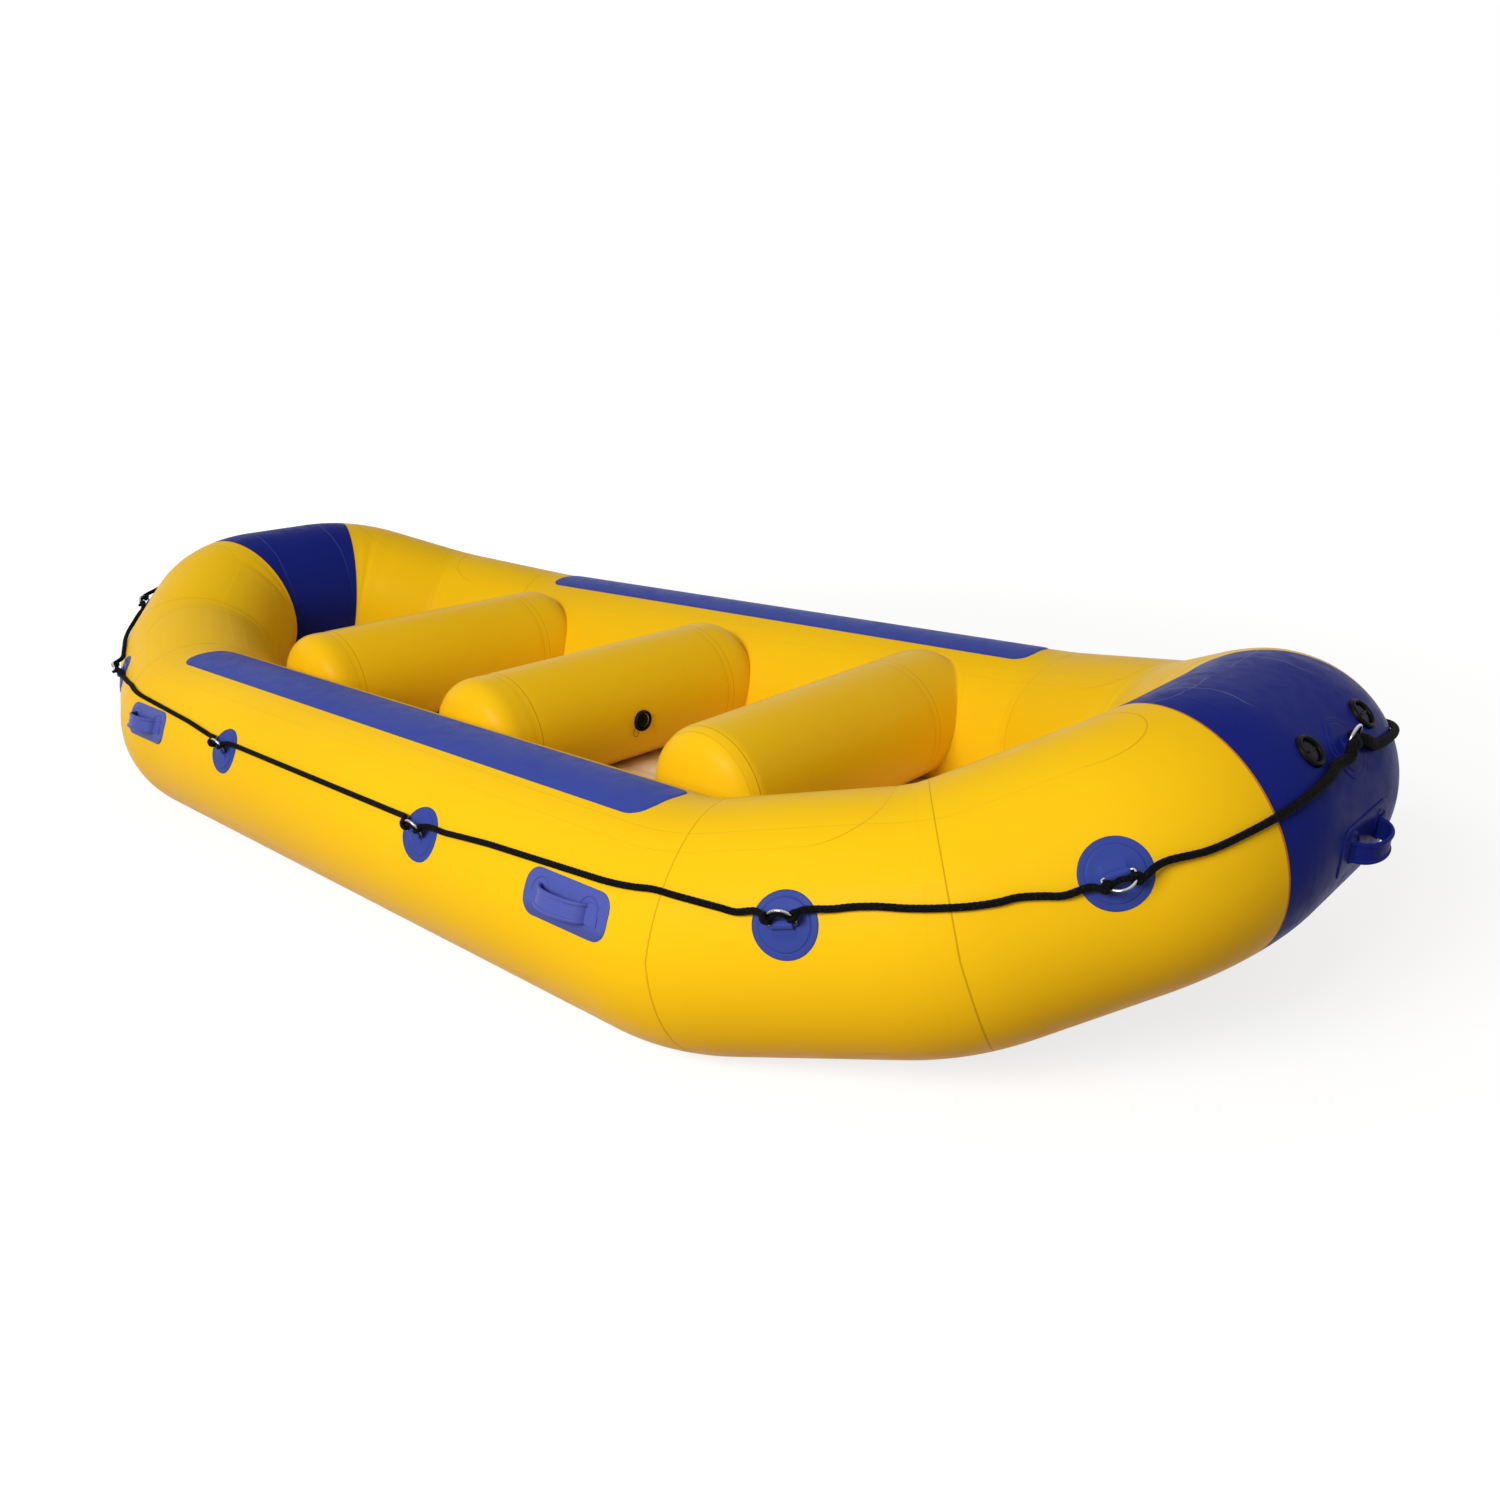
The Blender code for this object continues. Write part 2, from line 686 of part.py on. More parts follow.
def floor_panel(valve_place):
    """Inflated floor: a slab that follows the rocker and is seated under the ring."""
    form = bmesh.new()
    bmesh.ops.create_cube(form, size=1)
    width = 2 * (side_axis_y - tube_radius + FLOOR_EDGE_UNDER_TUBE)
    long = 2 * (end_axis_x - tube_radius + FLOOR_EDGE_UNDER_TUBE)
    middle = Vector((0, 0, FLOOR_CLEARANCE + FLOOR_THICKNESS / 2))
    size = Matrix.Diagonal((long, width, FLOOR_THICKNESS, 1))
    bmesh.ops.transform(form, matrix=Matrix.Translation(middle) @ size, verts=form.verts)
    for step in range(1, FLOOR_STEPS):
        everything = form.verts[:] + form.edges[:] + form.faces[:]
        along = long * (step / FLOOR_STEPS - 1 / 2)
        if abs(along) > side_corner_x - long / FLOOR_STEPS:
            bmesh.ops.bisect_plane(form, geom=everything, dist=SEAT_GAP / 30,
                                   plane_co=(along, 0, 0), plane_no=(1, 0, 0))
    for vert in form.verts:
        vert.co.z += rocker(vert.co.x)
    data = bpy.data.meshes.new("floor")
    form.to_mesh(data)
    form.free()
    slab = boolean(add_object("floor", data), ring_cutter(), "DIFFERENCE")
    return boolean(slab, valve_pocket(valve_place), "DIFFERENCE")


def build_tubes(end_valves):
    """Two yellow side tubes and the two blue end tubes with their centre patches."""
    for label in ("starboard", "port"):
        finish(ring_tube(tube_stretches[label]), f"side_tube_{label}", yellow_pvc)
    for label, middle in (("bow", quarter_length), ("stern", 3 * quarter_length)):
        patch = ring_patch(PATCH_RIM * 2)
        patch.matrix_world = tube_seat(middle, END_RING_ANGLE)
        tube = boolean(ring_tube(tube_stretches[label]), patch, "UNION")
        for place in end_valves[label].values():
            tube = boolean(tube, valve_pocket(place), "DIFFERENCE")
        finish(tube, f"{label}_tube", blue_pvc)


def build_strips():
    """Wear strips over the tops of the side tubes."""
    outline = rounded_box_outline(STRIP_LENGTH, STRIP_WIDTH, STRIP_CORNER)
    strip = plate("strip", outline, STRIP_THICKNESS)
    strip.data.transform(Matrix.Translation((0, 0, wrap_foot)))
    wrap(strip, STRIP_WIDTH)
    other = copy_of(strip, "strip_copy")
    finish(strip, "wear_strip_starboard", patch_pvc, tube_seat(0, pi / 2))
    finish(other, "wear_strip_port", patch_pvc, tube_seat(2 * quarter_length, pi / 2))


def build_rings():
    """D-rings round the raft, and the patches that carry them."""
    patch = ring_patch()
    ring = d_ring()
    for label, distance, angle, hanging in ring_stations():
        if label not in ("bow", "stern"):
            finish(copy_of(patch, "patch_copy"), f"d_ring_patch_{label}", patch_pvc, tube_seat(distance, angle))
        finish(copy_of(ring, "ring_copy"), f"d_ring_{label}", steel, ring_place(distance, angle, hanging))
    bpy.data.objects.remove(patch, do_unlink=True)
    bpy.data.objects.remove(ring, do_unlink=True)


def build_handles():
    """Two handles a side and one at each end."""
    side = handle(SIDE_STAND_OFF)
    end = handle(END_STAND_OFF)
    places = {
        "starboard_bow": (side, HANDLE_DISTANCE, HANDLE_ANGLE),
        "port_bow": (side, 2 * quarter_length - HANDLE_DISTANCE, HANDLE_ANGLE),
        "port_stern": (side, 2 * quarter_length + HANDLE_DISTANCE, HANDLE_ANGLE),
        "starboard_stern": (side, line.length - HANDLE_DISTANCE, HANDLE_ANGLE),
        "bow": (end, quarter_length, END_HANDLE_ANGLE),
        "stern": (end, 3 * quarter_length, END_HANDLE_ANGLE),
    }
    sink = Matrix.Translation((0, 0, -END_HANDLE_SINK))
    for label, (pattern, distance, angle) in places.items():
        place = tube_seat(distance, angle)
        if pattern is end:
            place = place @ sink
        finish(copy_of(pattern, "handle_copy"), f"handle_{label}", patch_pvc, place)
    bpy.data.objects.remove(side, do_unlink=True)
    bpy.data.objects.remove(end, do_unlink=True)


def build_valves(places):
    """A body and a cap at every valve's place."""
    body = valve_body()
    cap = valve_cap()
    for label, place in places.items():
        finish(copy_of(body, "body_copy"), f"valve_body_{label}", black_plastic, place)
        finish(copy_of(cap, "cap_copy"), f"valve_cap_{label}", black_plastic, place)
    bpy.data.objects.remove(body, do_unlink=True)
    bpy.data.objects.remove(cap, do_unlink=True)


def build():
    end_valves = {}
    for label, middle in (("bow", quarter_length), ("stern", 3 * quarter_length)):
        sign = 1 if label == "bow" else -1
        end_valves[label] = {
            "starboard": tube_seat(middle - sign * VALVE_FROM_END, VALVE_ANGLE),
            "port": tube_seat(middle + sign * VALVE_FROM_END, VALVE_ANGLE),
        }
    thwarts = {"front": (FRONT_THWART_X, -1), "middle": (MIDDLE_THWART_X, 1), "rear": (REAR_THWART_X, -1)}
    valves = {f"{end}_{side}": place for end, pair in end_valves.items() for side, place in pair.items()}
    build_tubes(end_valves)
    for label, (x, facing) in thwarts.items():
        place = thwart_valve_place(x, facing)
        valves[f"thwart_{label}"] = place
        finish(thwart(x, place), f"thwart_{label}", yellow_pvc)
    valves["floor"] = Matrix.Translation(((REAR_THWART_X + MIDDLE_THWART_X) / 2, -FLOOR_VALVE_Y, floor_top))
    finish(floor_panel(valves["floor"]), "floor_panel", floor_pvc)
    build_strips()
    build_rings()
    build_handles()
    build_valves(valves)
    rope = swept("rope", rope_route(), rope_radius, ROPE_SIDES, cyclic=True)
    finish(rope, "grab_rope", black_rope)


build()
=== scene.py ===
"""Looks of the whitewater raft, dressed over its solids: metres, +X to the bow, +Y to port, +Z up."""
from math import atan2, cos, pi, radians, sin, sqrt, tan

import bpy
import numpy as np
from mathutils import Matrix, Vector


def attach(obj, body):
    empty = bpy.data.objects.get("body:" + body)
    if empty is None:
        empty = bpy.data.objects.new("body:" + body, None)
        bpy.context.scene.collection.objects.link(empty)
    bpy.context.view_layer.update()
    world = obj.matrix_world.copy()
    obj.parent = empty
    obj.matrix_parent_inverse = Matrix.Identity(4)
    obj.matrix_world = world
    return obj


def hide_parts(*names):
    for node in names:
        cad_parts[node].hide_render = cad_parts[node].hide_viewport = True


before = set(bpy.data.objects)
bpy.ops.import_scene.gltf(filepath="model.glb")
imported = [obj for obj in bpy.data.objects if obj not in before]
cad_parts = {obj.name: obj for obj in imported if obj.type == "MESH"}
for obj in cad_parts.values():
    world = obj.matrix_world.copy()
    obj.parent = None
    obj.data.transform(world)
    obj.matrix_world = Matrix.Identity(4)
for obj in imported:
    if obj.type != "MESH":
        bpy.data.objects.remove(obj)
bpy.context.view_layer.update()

UP = np.array((0.0, 0.0, 1.0))

# The ring of tubes, as in the solids
TUBE_RADIUS = 0.26
AXIS_Y = 0.733
AXIS_Z = 0.2578
END_X = 1.9175
NOSE = (0.305, 0.149)
QUARTER = (0.462, 0.192, 0.083)
END_HALF_WIDTH = 0.248
CORNER_REACHES = (0.08, 0.08, 0.13)
JOINT = 2.1178

THWART_RADIUS = 0.181
THWARTS = {"front": (0.77, -1), "middle": (-0.05, 1), "rear": (-1.0, -1)}
FLOOR_TOP = 0.15
FLOOR_BOTTOM = 0.02
THWART_Z = FLOOR_TOP + 0.0003 + THWART_RADIUS
ROCKER_RISE = QUARTER[2] + NOSE[1]
SIDE_CORNER_X = END_X - NOSE[0] - QUARTER[0]

RING_SPOTS = (("mid", 0.49, radians(26)), ("quarter", 1.433, radians(25)), ("nose", 1.947, radians(23)))
END_RING_ANGLE = radians(36)
HANDLE_DISTANCE = 1.01
HANDLE_ANGLE = radians(23)
END_HANDLE_ANGLE = radians(-4)
VALVE_FROM_END = 0.128
VALVE_ANGLE = radians(43)

GROUND_CLEARANCE = 0.0004
PRESSED_GAP = 0.0006
SKIRT = -0.0006
ROPE_RADIUS = 0.0067
WIRE_RADIUS = 0.003
KEEPER_HEIGHT = 0.0105


class Straight:
    def __init__(self, start, end):
        self.start = start
        self.length = (end - start).length
        self.way = (end - start).normalized()

    def at(self, distance):
        return self.start + self.way * distance, self.way


class Bend:
    def __init__(self, before, corner, after, reach):
        back = (before - corner).normalized()
        ahead = (after - corner).normalized()
        half = back.angle(ahead) / 2
        self.radius = reach * tan(half)
        self.centre = corner + (back + ahead).normalized() * reach / cos(half)
        self.start = corner + back * reach
        self.end = corner + ahead * reach
        self.arm = self.start - self.centre
        self.axis = self.arm.cross(self.end - self.centre).normalized()
        self.length = self.radius * (pi - 2 * half)

    def at(self, distance):
        arm = Matrix.Rotation(distance / self.radius, 3, self.axis) @ self.arm
        return self.centre + arm, self.axis.cross(arm).normalized()


def ring_pieces():
    """Straights and bends of the ring's centre line, from amidships to starboard, past the bow and round."""
    side = Vector((SIDE_CORNER_X, -AXIS_Y, AXIS_Z))
    nose = side + Vector(QUARTER)
    end = Vector((END_X, -END_HALF_WIDTH, AXIS_Z + ROCKER_RISE))
    bow = [side, nose, end]
    corners = bow + [Vector((c.x, -c.y, c.z)) for c in reversed(bow)]
    corners += [Vector((-c.x, -c.y, c.z)) for c in corners]
    reaches = (CORNER_REACHES + CORNER_REACHES[::-1]) * 2
    here = middle = (corners[0] + corners[-1]) / 2
    pieces = []
    for index, corner in enumerate(corners):
        bend = Bend(corners[index - 1], corner, corners[(index + 1) % len(corners)], reaches[index])
        pieces += [Straight(here, bend.start), bend]
        here = bend.end
    return pieces + [Straight(here, middle)]


def sample_line(pieces, spacing=0.004):
    """Distances, spots and ways along the centre line, close enough to read between."""
    marks, spots, ways = [], [], []
    passed = 0.0
    for piece in pieces:
        count = max(2, int(piece.length / spacing))
        for step in range(count):
            along = piece.length * step / count
            spot, way = piece.at(along)
            marks.append(passed + along)
            spots.append(tuple(spot))
            ways.append(tuple(way))
        passed += piece.length
    return np.array(marks + [passed]), np.array(spots + spots[:1]), np.array(ways + ways[:1])


pieces = ring_pieces()
LENGTH = sum(piece.length for piece in pieces)
QUARTER_LENGTH = LENGTH / 4
HALF_LENGTH = LENGTH / 2
SIDE_MIDDLES = {"starboard": 0.0, "port": HALF_LENGTH}
END_MIDDLES = {"bow": QUARTER_LENGTH, "stern": 3 * QUARTER_LENGTH}
line_marks, line_spots, line_ways = sample_line(pieces)


def four_corners(distance):
    """Side, end and distance round the ring of four fittings that mirror one another."""
    return (("starboard", "bow", distance), ("port", "bow", HALF_LENGTH - distance),
            ("port", "stern", HALF_LENGTH + distance), ("starboard", "stern", LENGTH - distance))




def unit(vectors):
    return vectors / np.linalg.norm(vectors, axis=-1, keepdims=True)


def line_at(s):
    """Centre, way, level and over at distances round the ring."""
    s = np.mod(np.asarray(s, float), LENGTH)
    centre = np.stack([np.interp(s, line_marks, line_spots[:, k]) for k in range(3)], -1)
    way = unit(np.stack([np.interp(s, line_marks, line_ways[:, k]) for k in range(3)], -1))
    level = unit(np.cross(way, UP))
    return centre, way, level, np.cross(level, way)


def skin(s, angle, height=0.0):
    """Spots on the tubes' skin; the underside lies flat on the ground."""
    centre, way, level, over = line_at(s)
    angle = np.asarray(angle, float)[..., None]
    out = level * np.cos(angle) + over * np.sin(angle)
    spot = centre + out * (TUBE_RADIUS + np.asarray(height, float))[..., None]
    spot[..., 2] = np.maximum(spot[..., 2], GROUND_CLEARANCE)
    return spot


def seat(s, angle):
    """Frame on the skin: Z out of it, X along it, Y up over it."""
    centre, way, level, over = line_at(s)
    out = level * cos(angle) + over * sin(angle)
    turn = Matrix((Vector(way), Vector(np.cross(out, way)), Vector(out))).transposed().to_4x4()
    return Matrix.Translation(Vector(centre + out * TUBE_RADIUS)) @ turn


FOLLOW_ROUNDS = 14
FOLLOW_EASE = 1.45


def follow(points, s):
    """Distance, centre and outward way of the ring at spots near a distance."""
    s = np.array(s, float)
    for _ in range(FOLLOW_ROUNDS):
        centre, way, _, _ = line_at(s)
        s = s + ((points - centre) * way).sum(-1) / FOLLOW_EASE
    centre, way, _, _ = line_at(s)
    out = points - centre
    out = out - way * (out * way).sum(-1, keepdims=True)
    return s, centre, unit(out)


def lay(place, s0, local):
    """Sheet spots (x, y, height) laid on the skin round a seat."""
    local = np.asarray(local, float)
    turn = local[..., 1] / TUBE_RADIUS
    drop = TUBE_RADIUS * np.cos(turn) - TUBE_RADIUS
    points = move(place, np.stack([local[..., 0], TUBE_RADIUS * np.sin(turn), drop], -1))
    _, centre, out = follow(points, s0 + local[..., 0])
    return centre + out * (TUBE_RADIUS + local[..., 2])[..., None]


def move(place, local):
    matrix = np.array(place)
    return np.asarray(local, float) @ matrix[:3, :3].T + matrix[:3, 3]


def clear_of_ring(points, gap):
    """Pushes spots out of the tubes, as soft skins pressed on them."""
    points = points.copy()
    coarse = np.arange(0, LENGTH, 0.02)
    centres = line_at(coarse)[0]
    batch = 4000
    for start in range(0, len(points), batch):
        part = points[start:start + batch]
        near = ((part[:, None, :] - centres[None]) ** 2).sum(-1).argmin(1)
        _, centre, out = follow(part, coarse[near])
        depth = np.linalg.norm(part - centre, axis=1)
        inside = depth < TUBE_RADIUS + gap
        part[inside] = centre[inside] + out[inside] * (TUBE_RADIUS + gap)
        points[start:start + batch] = part
    return points


def mesh(name, points, faces, paint, uv=None, sharp=40):
    """Mesh object from spots and faces, with one UV pair a corner when given."""
    data = bpy.data.meshes.new(name)
    data.from_pydata([tuple(p) for p in np.asarray(points, float)], [], faces)
    if uv is not None:
        layer = data.uv_layers.new(name="skin")
        layer.data.foreach_set("uv", np.asarray(uv, float).ravel())
    data.materials.append(paint)
    data.shade_smooth()
    data.set_sharp_from_angle(angle=radians(sharp))
    made = bpy.data.objects.new(name, data)
    bpy.context.scene.collection.objects.link(made)
    return made


def grid_faces(rows, columns, closed=False, flip=False):
    """Quads over a grid of spots; closed joins the last column to the first."""
    wide = columns if closed else columns - 1
    faces = []
    for row in range(rows - 1):
        for column in range(wide):
            after = (column + 1) % columns
            quad = (row * columns + column, row * columns + after, (row + 1) * columns + after,
                    (row + 1) * columns + column)
            faces.append(quad[::-1] if flip else quad)
    return faces


def drum_faces(rows, columns, flip=False):
    """Faces of a closed grid with both its ends covered."""
    first = tuple(range(columns))[::-1]
    last = tuple((rows - 1) * columns + k for k in range(columns))
    ends = [first[::-1], last[::-1]] if flip else [first, last]
    return grid_faces(rows, columns, True, flip) + ends


def grid_uv(us, vs, flip=False):
    """UV corners for grid_faces; vs has one value more than the columns when the grid is closed."""
    wide = len(vs)
    return [(us[k // wide], vs[k % wide]) for face in grid_faces(len(us), wide, flip=flip) for k in face]


def sheet(name, rows, columns, outline, place, s0, paint, skirt=SKIRT):
    """Thin pad on the skin; outline(a, b) gives x, y and height for shares from -1 to 1."""
    a, b = np.meshgrid(np.linspace(-1, 1, rows), np.linspace(-1, 1, columns), indexing="ij")
    x, y, height = outline(a, b)
    full = np.pad(np.stack([x, y, height], -1), ((1, 1), (1, 1), (0, 0)), mode="edge")
    for border in (full[0], full[-1], full[:, 0], full[:, -1]):
        border[:, 2] = skirt
    flat = full.reshape(-1, 3)
    faces = grid_faces(rows + 2, columns + 2)
    uv = [tuple(flat[k, :2]) for face in faces for k in face]
    return mesh(name, lay(place, s0, flat), faces, paint, uv, 50)


def swept(name, points, radius, sides, paint, shape=None):
    """Closed loop of round section that doesn't twist; shape(length, angle, total) scales its radius."""
    points = np.asarray(points, float)
    count = len(points)
    way = unit(np.roll(points, -1, 0) - np.roll(points, 1, 0))
    side = np.zeros_like(points)
    guide = UP if abs(way[0, 2]) < 0.9 else np.array((1.0, 0, 0))
    side[0] = unit(np.cross(guide, way[0]))
    for k in range(1, count):
        side[k] = unit(side[k - 1] - way[k] * (side[k - 1] @ way[k]))
    gaps = np.linalg.norm(np.diff(points, axis=0, append=points[:1]), axis=1)
    along = np.concatenate([[0], np.cumsum(gaps)])[:count]
    total = gaps.sum()
    last = unit(side[-1] - way[0] * (side[-1] @ way[0]))
    twist = atan2(np.cross(side[0], last) @ way[0], side[0] @ last)
    turn = -twist * along / total
    side = side * np.cos(turn)[:, None] + np.cross(way, side) * np.sin(turn)[:, None]
    other = np.cross(way, side)
    angles = np.arange(sides) * 2 * pi / sides
    size = np.broadcast_to(radius, (count,))[:, None] * np.ones(sides)[None]
    if shape is not None:
        size = size * shape(along[:, None], angles[None], total)
    rim = side[:, None] * np.cos(angles)[None, :, None] + other[:, None] * np.sin(angles)[None, :, None]
    spots = (points[:, None] + rim * size[..., None]).reshape(-1, 3)
    end = (count - 1) * sides
    faces = grid_faces(count, sides, True)
    faces += [(end + k, end + (k + 1) % sides, (k + 1) % sides, k) for k in range(sides)]
    uv = grid_uv([*along, total], [k / sides for k in range(sides + 1)])
    return mesh(name, spots, faces, paint, uv, 60)


def turned(name, profile, sides, place, paint, ripple=None):
    """Turned piece from (radius, height) spots that run from its middle, over its face, to its foot."""
    points = []
    for radius, height in profile:
        for k in range(sides):
            angle = 2 * pi * k / sides
            grow = ripple(radius, height, angle) if ripple else 0
            points.append(((radius + grow) * cos(angle), (radius + grow) * sin(angle), height))
    return mesh(name, move(place, points), drum_faces(len(profile), sides, True), paint, None, 35)


def smooth_profile(spots, steps):
    """Rounds a coarse profile into a curve through its spots."""
    spots = np.array(spots, float)
    path = []
    for k in range(len(spots) - 1):
        p0, p1, p2, p3 = spots[max(k - 1, 0)], spots[k], spots[k + 1], spots[min(k + 2, len(spots) - 1)]
        for step in range(steps):
            t = step / steps
            path.append(0.5 * (2 * p1 + (p2 - p0) * t + (2 * p0 - 5 * p1 + 4 * p2 - p3) * t * t
                               + (3 * p1 - p0 - 3 * p2 + p3) * t ** 3))
    return [tuple(spot) for spot in path + [spots[-1]]]


def even(points, spacing):
    """The same loop in even steps."""
    points = np.array([*points, points[0]], float)
    along = np.concatenate([[0], np.cumsum(np.linalg.norm(np.diff(points, axis=0), axis=1))])
    count = int(along[-1] / spacing)
    stops = np.linspace(0, along[-1], count, endpoint=False)
    return np.stack([np.interp(stops, along, points[:, k]) for k in range(3)], -1)


class Nodes:
    """Node tree built by small calls; numbers and sockets mix freely."""

    def __init__(self, tree):
        self.tree = tree

    def put(self, value, socket):
        if isinstance(value, bpy.types.NodeSocket):
            self.tree.links.new(value, socket)
        elif isinstance(value, tuple) and len(value) == 3 and socket.type == "RGBA":
            socket.default_value = (*value, 1)
        else:
            socket.default_value = value

    def node(self, kind, inputs=(), **settings):
        made = self.tree.nodes.new("ShaderNode" + kind)
        for key, value in settings.items():
            setattr(made, key, value)
        for key, value in dict(inputs).items():
            self.put(value, made.inputs[key])
        return made

    def math(self, operation, a, b=0.0):
        return self.node("Math", {0: a, 1: b}, operation=operation).outputs[0]

    def plus(self, a, b):
        return self.math("ADD", a, b)

    def minus(self, a, b):
        return self.math("SUBTRACT", a, b)

    def times(self, a, b):
        return self.math("MULTIPLY", a, b)

    def most(self, a, b):
        return self.math("MAXIMUM", a, b)

    def square(self, a):
        return self.math("POWER", a, 2.0)

    def away(self, a, middle=None):
        """Distance of a from a middle value, or from zero."""
        return self.math("ABSOLUTE", a if middle is None else self.minus(a, middle))

    def fit(self, value, low, high, to_low=0.0, to_high=1.0, smooth=True):
        kind = "SMOOTHSTEP" if smooth else "LINEAR"
        inputs = {0: value, 1: low, 2: high, 3: to_low, 4: to_high}
        return self.node("MapRange", inputs, interpolation_type=kind).outputs[0]

    def mix(self, share, a, b, blend="MIX"):
        made = self.node("Mix", data_type="RGBA", blend_type=blend)
        self.put(share, made.inputs[0])
        self.put(a, made.inputs[6])
        self.put(b, made.inputs[7])
        return made.outputs[2]

    def noise(self, where, scale, detail=3.0, rough=0.5):
        inputs = {"Vector": where, "Scale": scale, "Detail": detail, "Roughness": rough}
        return self.node("TexNoise", inputs).outputs[0]

    def where(self, scale=(1, 1, 1)):
        spot = self.node("TexCoord").outputs["Object"]
        return self.node("Mapping", {"Vector": spot, "Scale": scale}).outputs[0]

    def uv(self):
        spot = self.node("TexCoord").outputs["UV"]
        split = self.node("SeparateXYZ", {0: spot})
        return split.outputs[0], split.outputs[1]

    def line(self, value, half, soft):
        """One on a line where value is zero, down to none past half."""
        return self.fit(self.away(value), half, half + soft, 1.0, 0.0)

    def bump(self, height, strength, distance, normal=None):
        inputs = {"Height": height, "Strength": strength, "Distance": distance}
        if normal is not None:
            inputs["Normal"] = normal
        return self.node("Bump", inputs).outputs[0]

    def seen(self):
        """One for rays that show a surface: from the camera, off a mirror or through glass."""
        rays = self.node("LightPath").outputs
        mirrored = self.most(rays["Is Glossy Ray"], rays["Is Transmission Ray"])
        return self.most(rays["Is Camera Ray"], mirrored)


class Paint(Nodes):
    """Material whose principled shader takes sockets or plain values."""

    def __init__(self, name):
        self.material = bpy.data.materials.new(name)
        self.material.use_nodes = True
        super().__init__(self.material.node_tree)
        self.shader = self.tree.nodes["Principled BSDF"]

    def use(self, **sockets):
        for key, value in sockets.items():
            self.put(value, self.shader.inputs[key.replace("_", " ")])
        return self.material


WORN = (0.85, 0.82, 0.78)
# Brownish colour that darkens the fabrics towards the bottom, and the height where that darkening ends
BOTTOM_DARK = (0.16, 0.12, 0.07)
GLUE = (0.42, 0.10, 0.02)
# Pale colour of the painted highlight along folds of the blue fabric
CREASE_HIGHLIGHT = (0.30, 0.32, 0.52)
BOTTOM_DARK_HEIGHT = 0.09


def pvc(name, colour, deep, rough, lines=None, scuff=0.06, joint=None, crease_highlight=None, shine=0.3):
    """Coated fabric: a satin skin over fine weave, with clouding, scuffs and seams by UV in metres."""
    paint = Paint(name)
    where = paint.where()
    cloud = paint.fit(paint.noise(where, 1.1, 2.0), 0.3, 0.7)
    base = paint.mix(cloud, deep, colour)
    mottle = paint.fit(paint.noise(where, 26.0, 4.0, 0.6), 0.3, 0.75)
    base = paint.mix(paint.times(mottle, 0.10), base, deep)
    streaks = paint.fit(paint.noise(paint.where((3, 40, 22)), 7.0, 5.0, 0.65), 0.70, 0.78)
    patchy = paint.fit(paint.noise(where, 3.1, 2.0), 0.58, 0.74)
    scratch = paint.times(streaks, patchy)
    base = paint.mix(paint.times(scratch, scuff), base, WORN)
    # Brownish darkening towards the bottom, fading out 9 cm above the ground and broken up by noise
    height = paint.node("SeparateXYZ", {0: paint.node("TexCoord").outputs["Object"]}).outputs[2]
    ground = paint.fit(height, 0.0, BOTTOM_DARK_HEIGHT, 1.0, 0.0)
    bottom_darkening = paint.times(ground, paint.fit(paint.noise(where, 14.0, 4.0), 0.35, 0.7))
    base = paint.mix(paint.times(bottom_darkening, 0.22), base, BOTTOM_DARK)
    if lines:
        edge, ridge = lines(paint)
        # Dark lines: seams and laps on tubes and thwarts, and on the handles painted shade beside the
        # moulded arcs and below the strap
        seam_and_shade_dark = (deep[0] * 0.5, deep[1] * 0.38, deep[2] * 0.4)
        base = paint.mix(paint.times(edge, 0.45), base, seam_and_shade_dark)
    if joint:
        u, _ = paint.uv()
        hair = paint.line(paint.minus(paint.away(u), joint), 0.0016, 0.0014)
        base = paint.mix(paint.times(hair, 0.8), base, GLUE)
    # Painted highlight: pale lines mixed into the colour along folds
    if crease_highlight:
        base = paint.mix(paint.times(crease_highlight(paint), 0.30), base, CREASE_HIGHLIGHT)
    grain = paint.node("TexVoronoi", {"Vector": where, "Scale": 520.0}).outputs["Distance"]
    soft = paint.noise(where, 4.0, 2.0)
    normal = paint.bump(grain, 0.05, 0.0006)
    normal = paint.bump(soft, 0.10, 0.0040, normal)
    normal = paint.bump(scratch, 0.08, 0.0004, normal)
    if lines:
        normal = paint.bump(ridge, 0.9, 0.0009, normal)
    gloss = paint.fit(mottle, 0.0, 1.0, rough - 0.04, rough + 0.06)
    gloss = paint.plus(gloss, paint.times(scratch, 0.18))
    return paint.use(Base_Color=base, Roughness=gloss, Normal=normal, IOR=1.17, Specular_IOR_Level=shine)


# Distances from a side tube's middle: mitre seams with their share of lean, doublers' ends with their radius
MITRE_SEAMS = ((1.176, 1.0), (1.682, 0.5))
DOUBLER_ENDS = ((1.607, 0.16), (2.078, 0.113))
DOUBLER_EDGE = 0.42


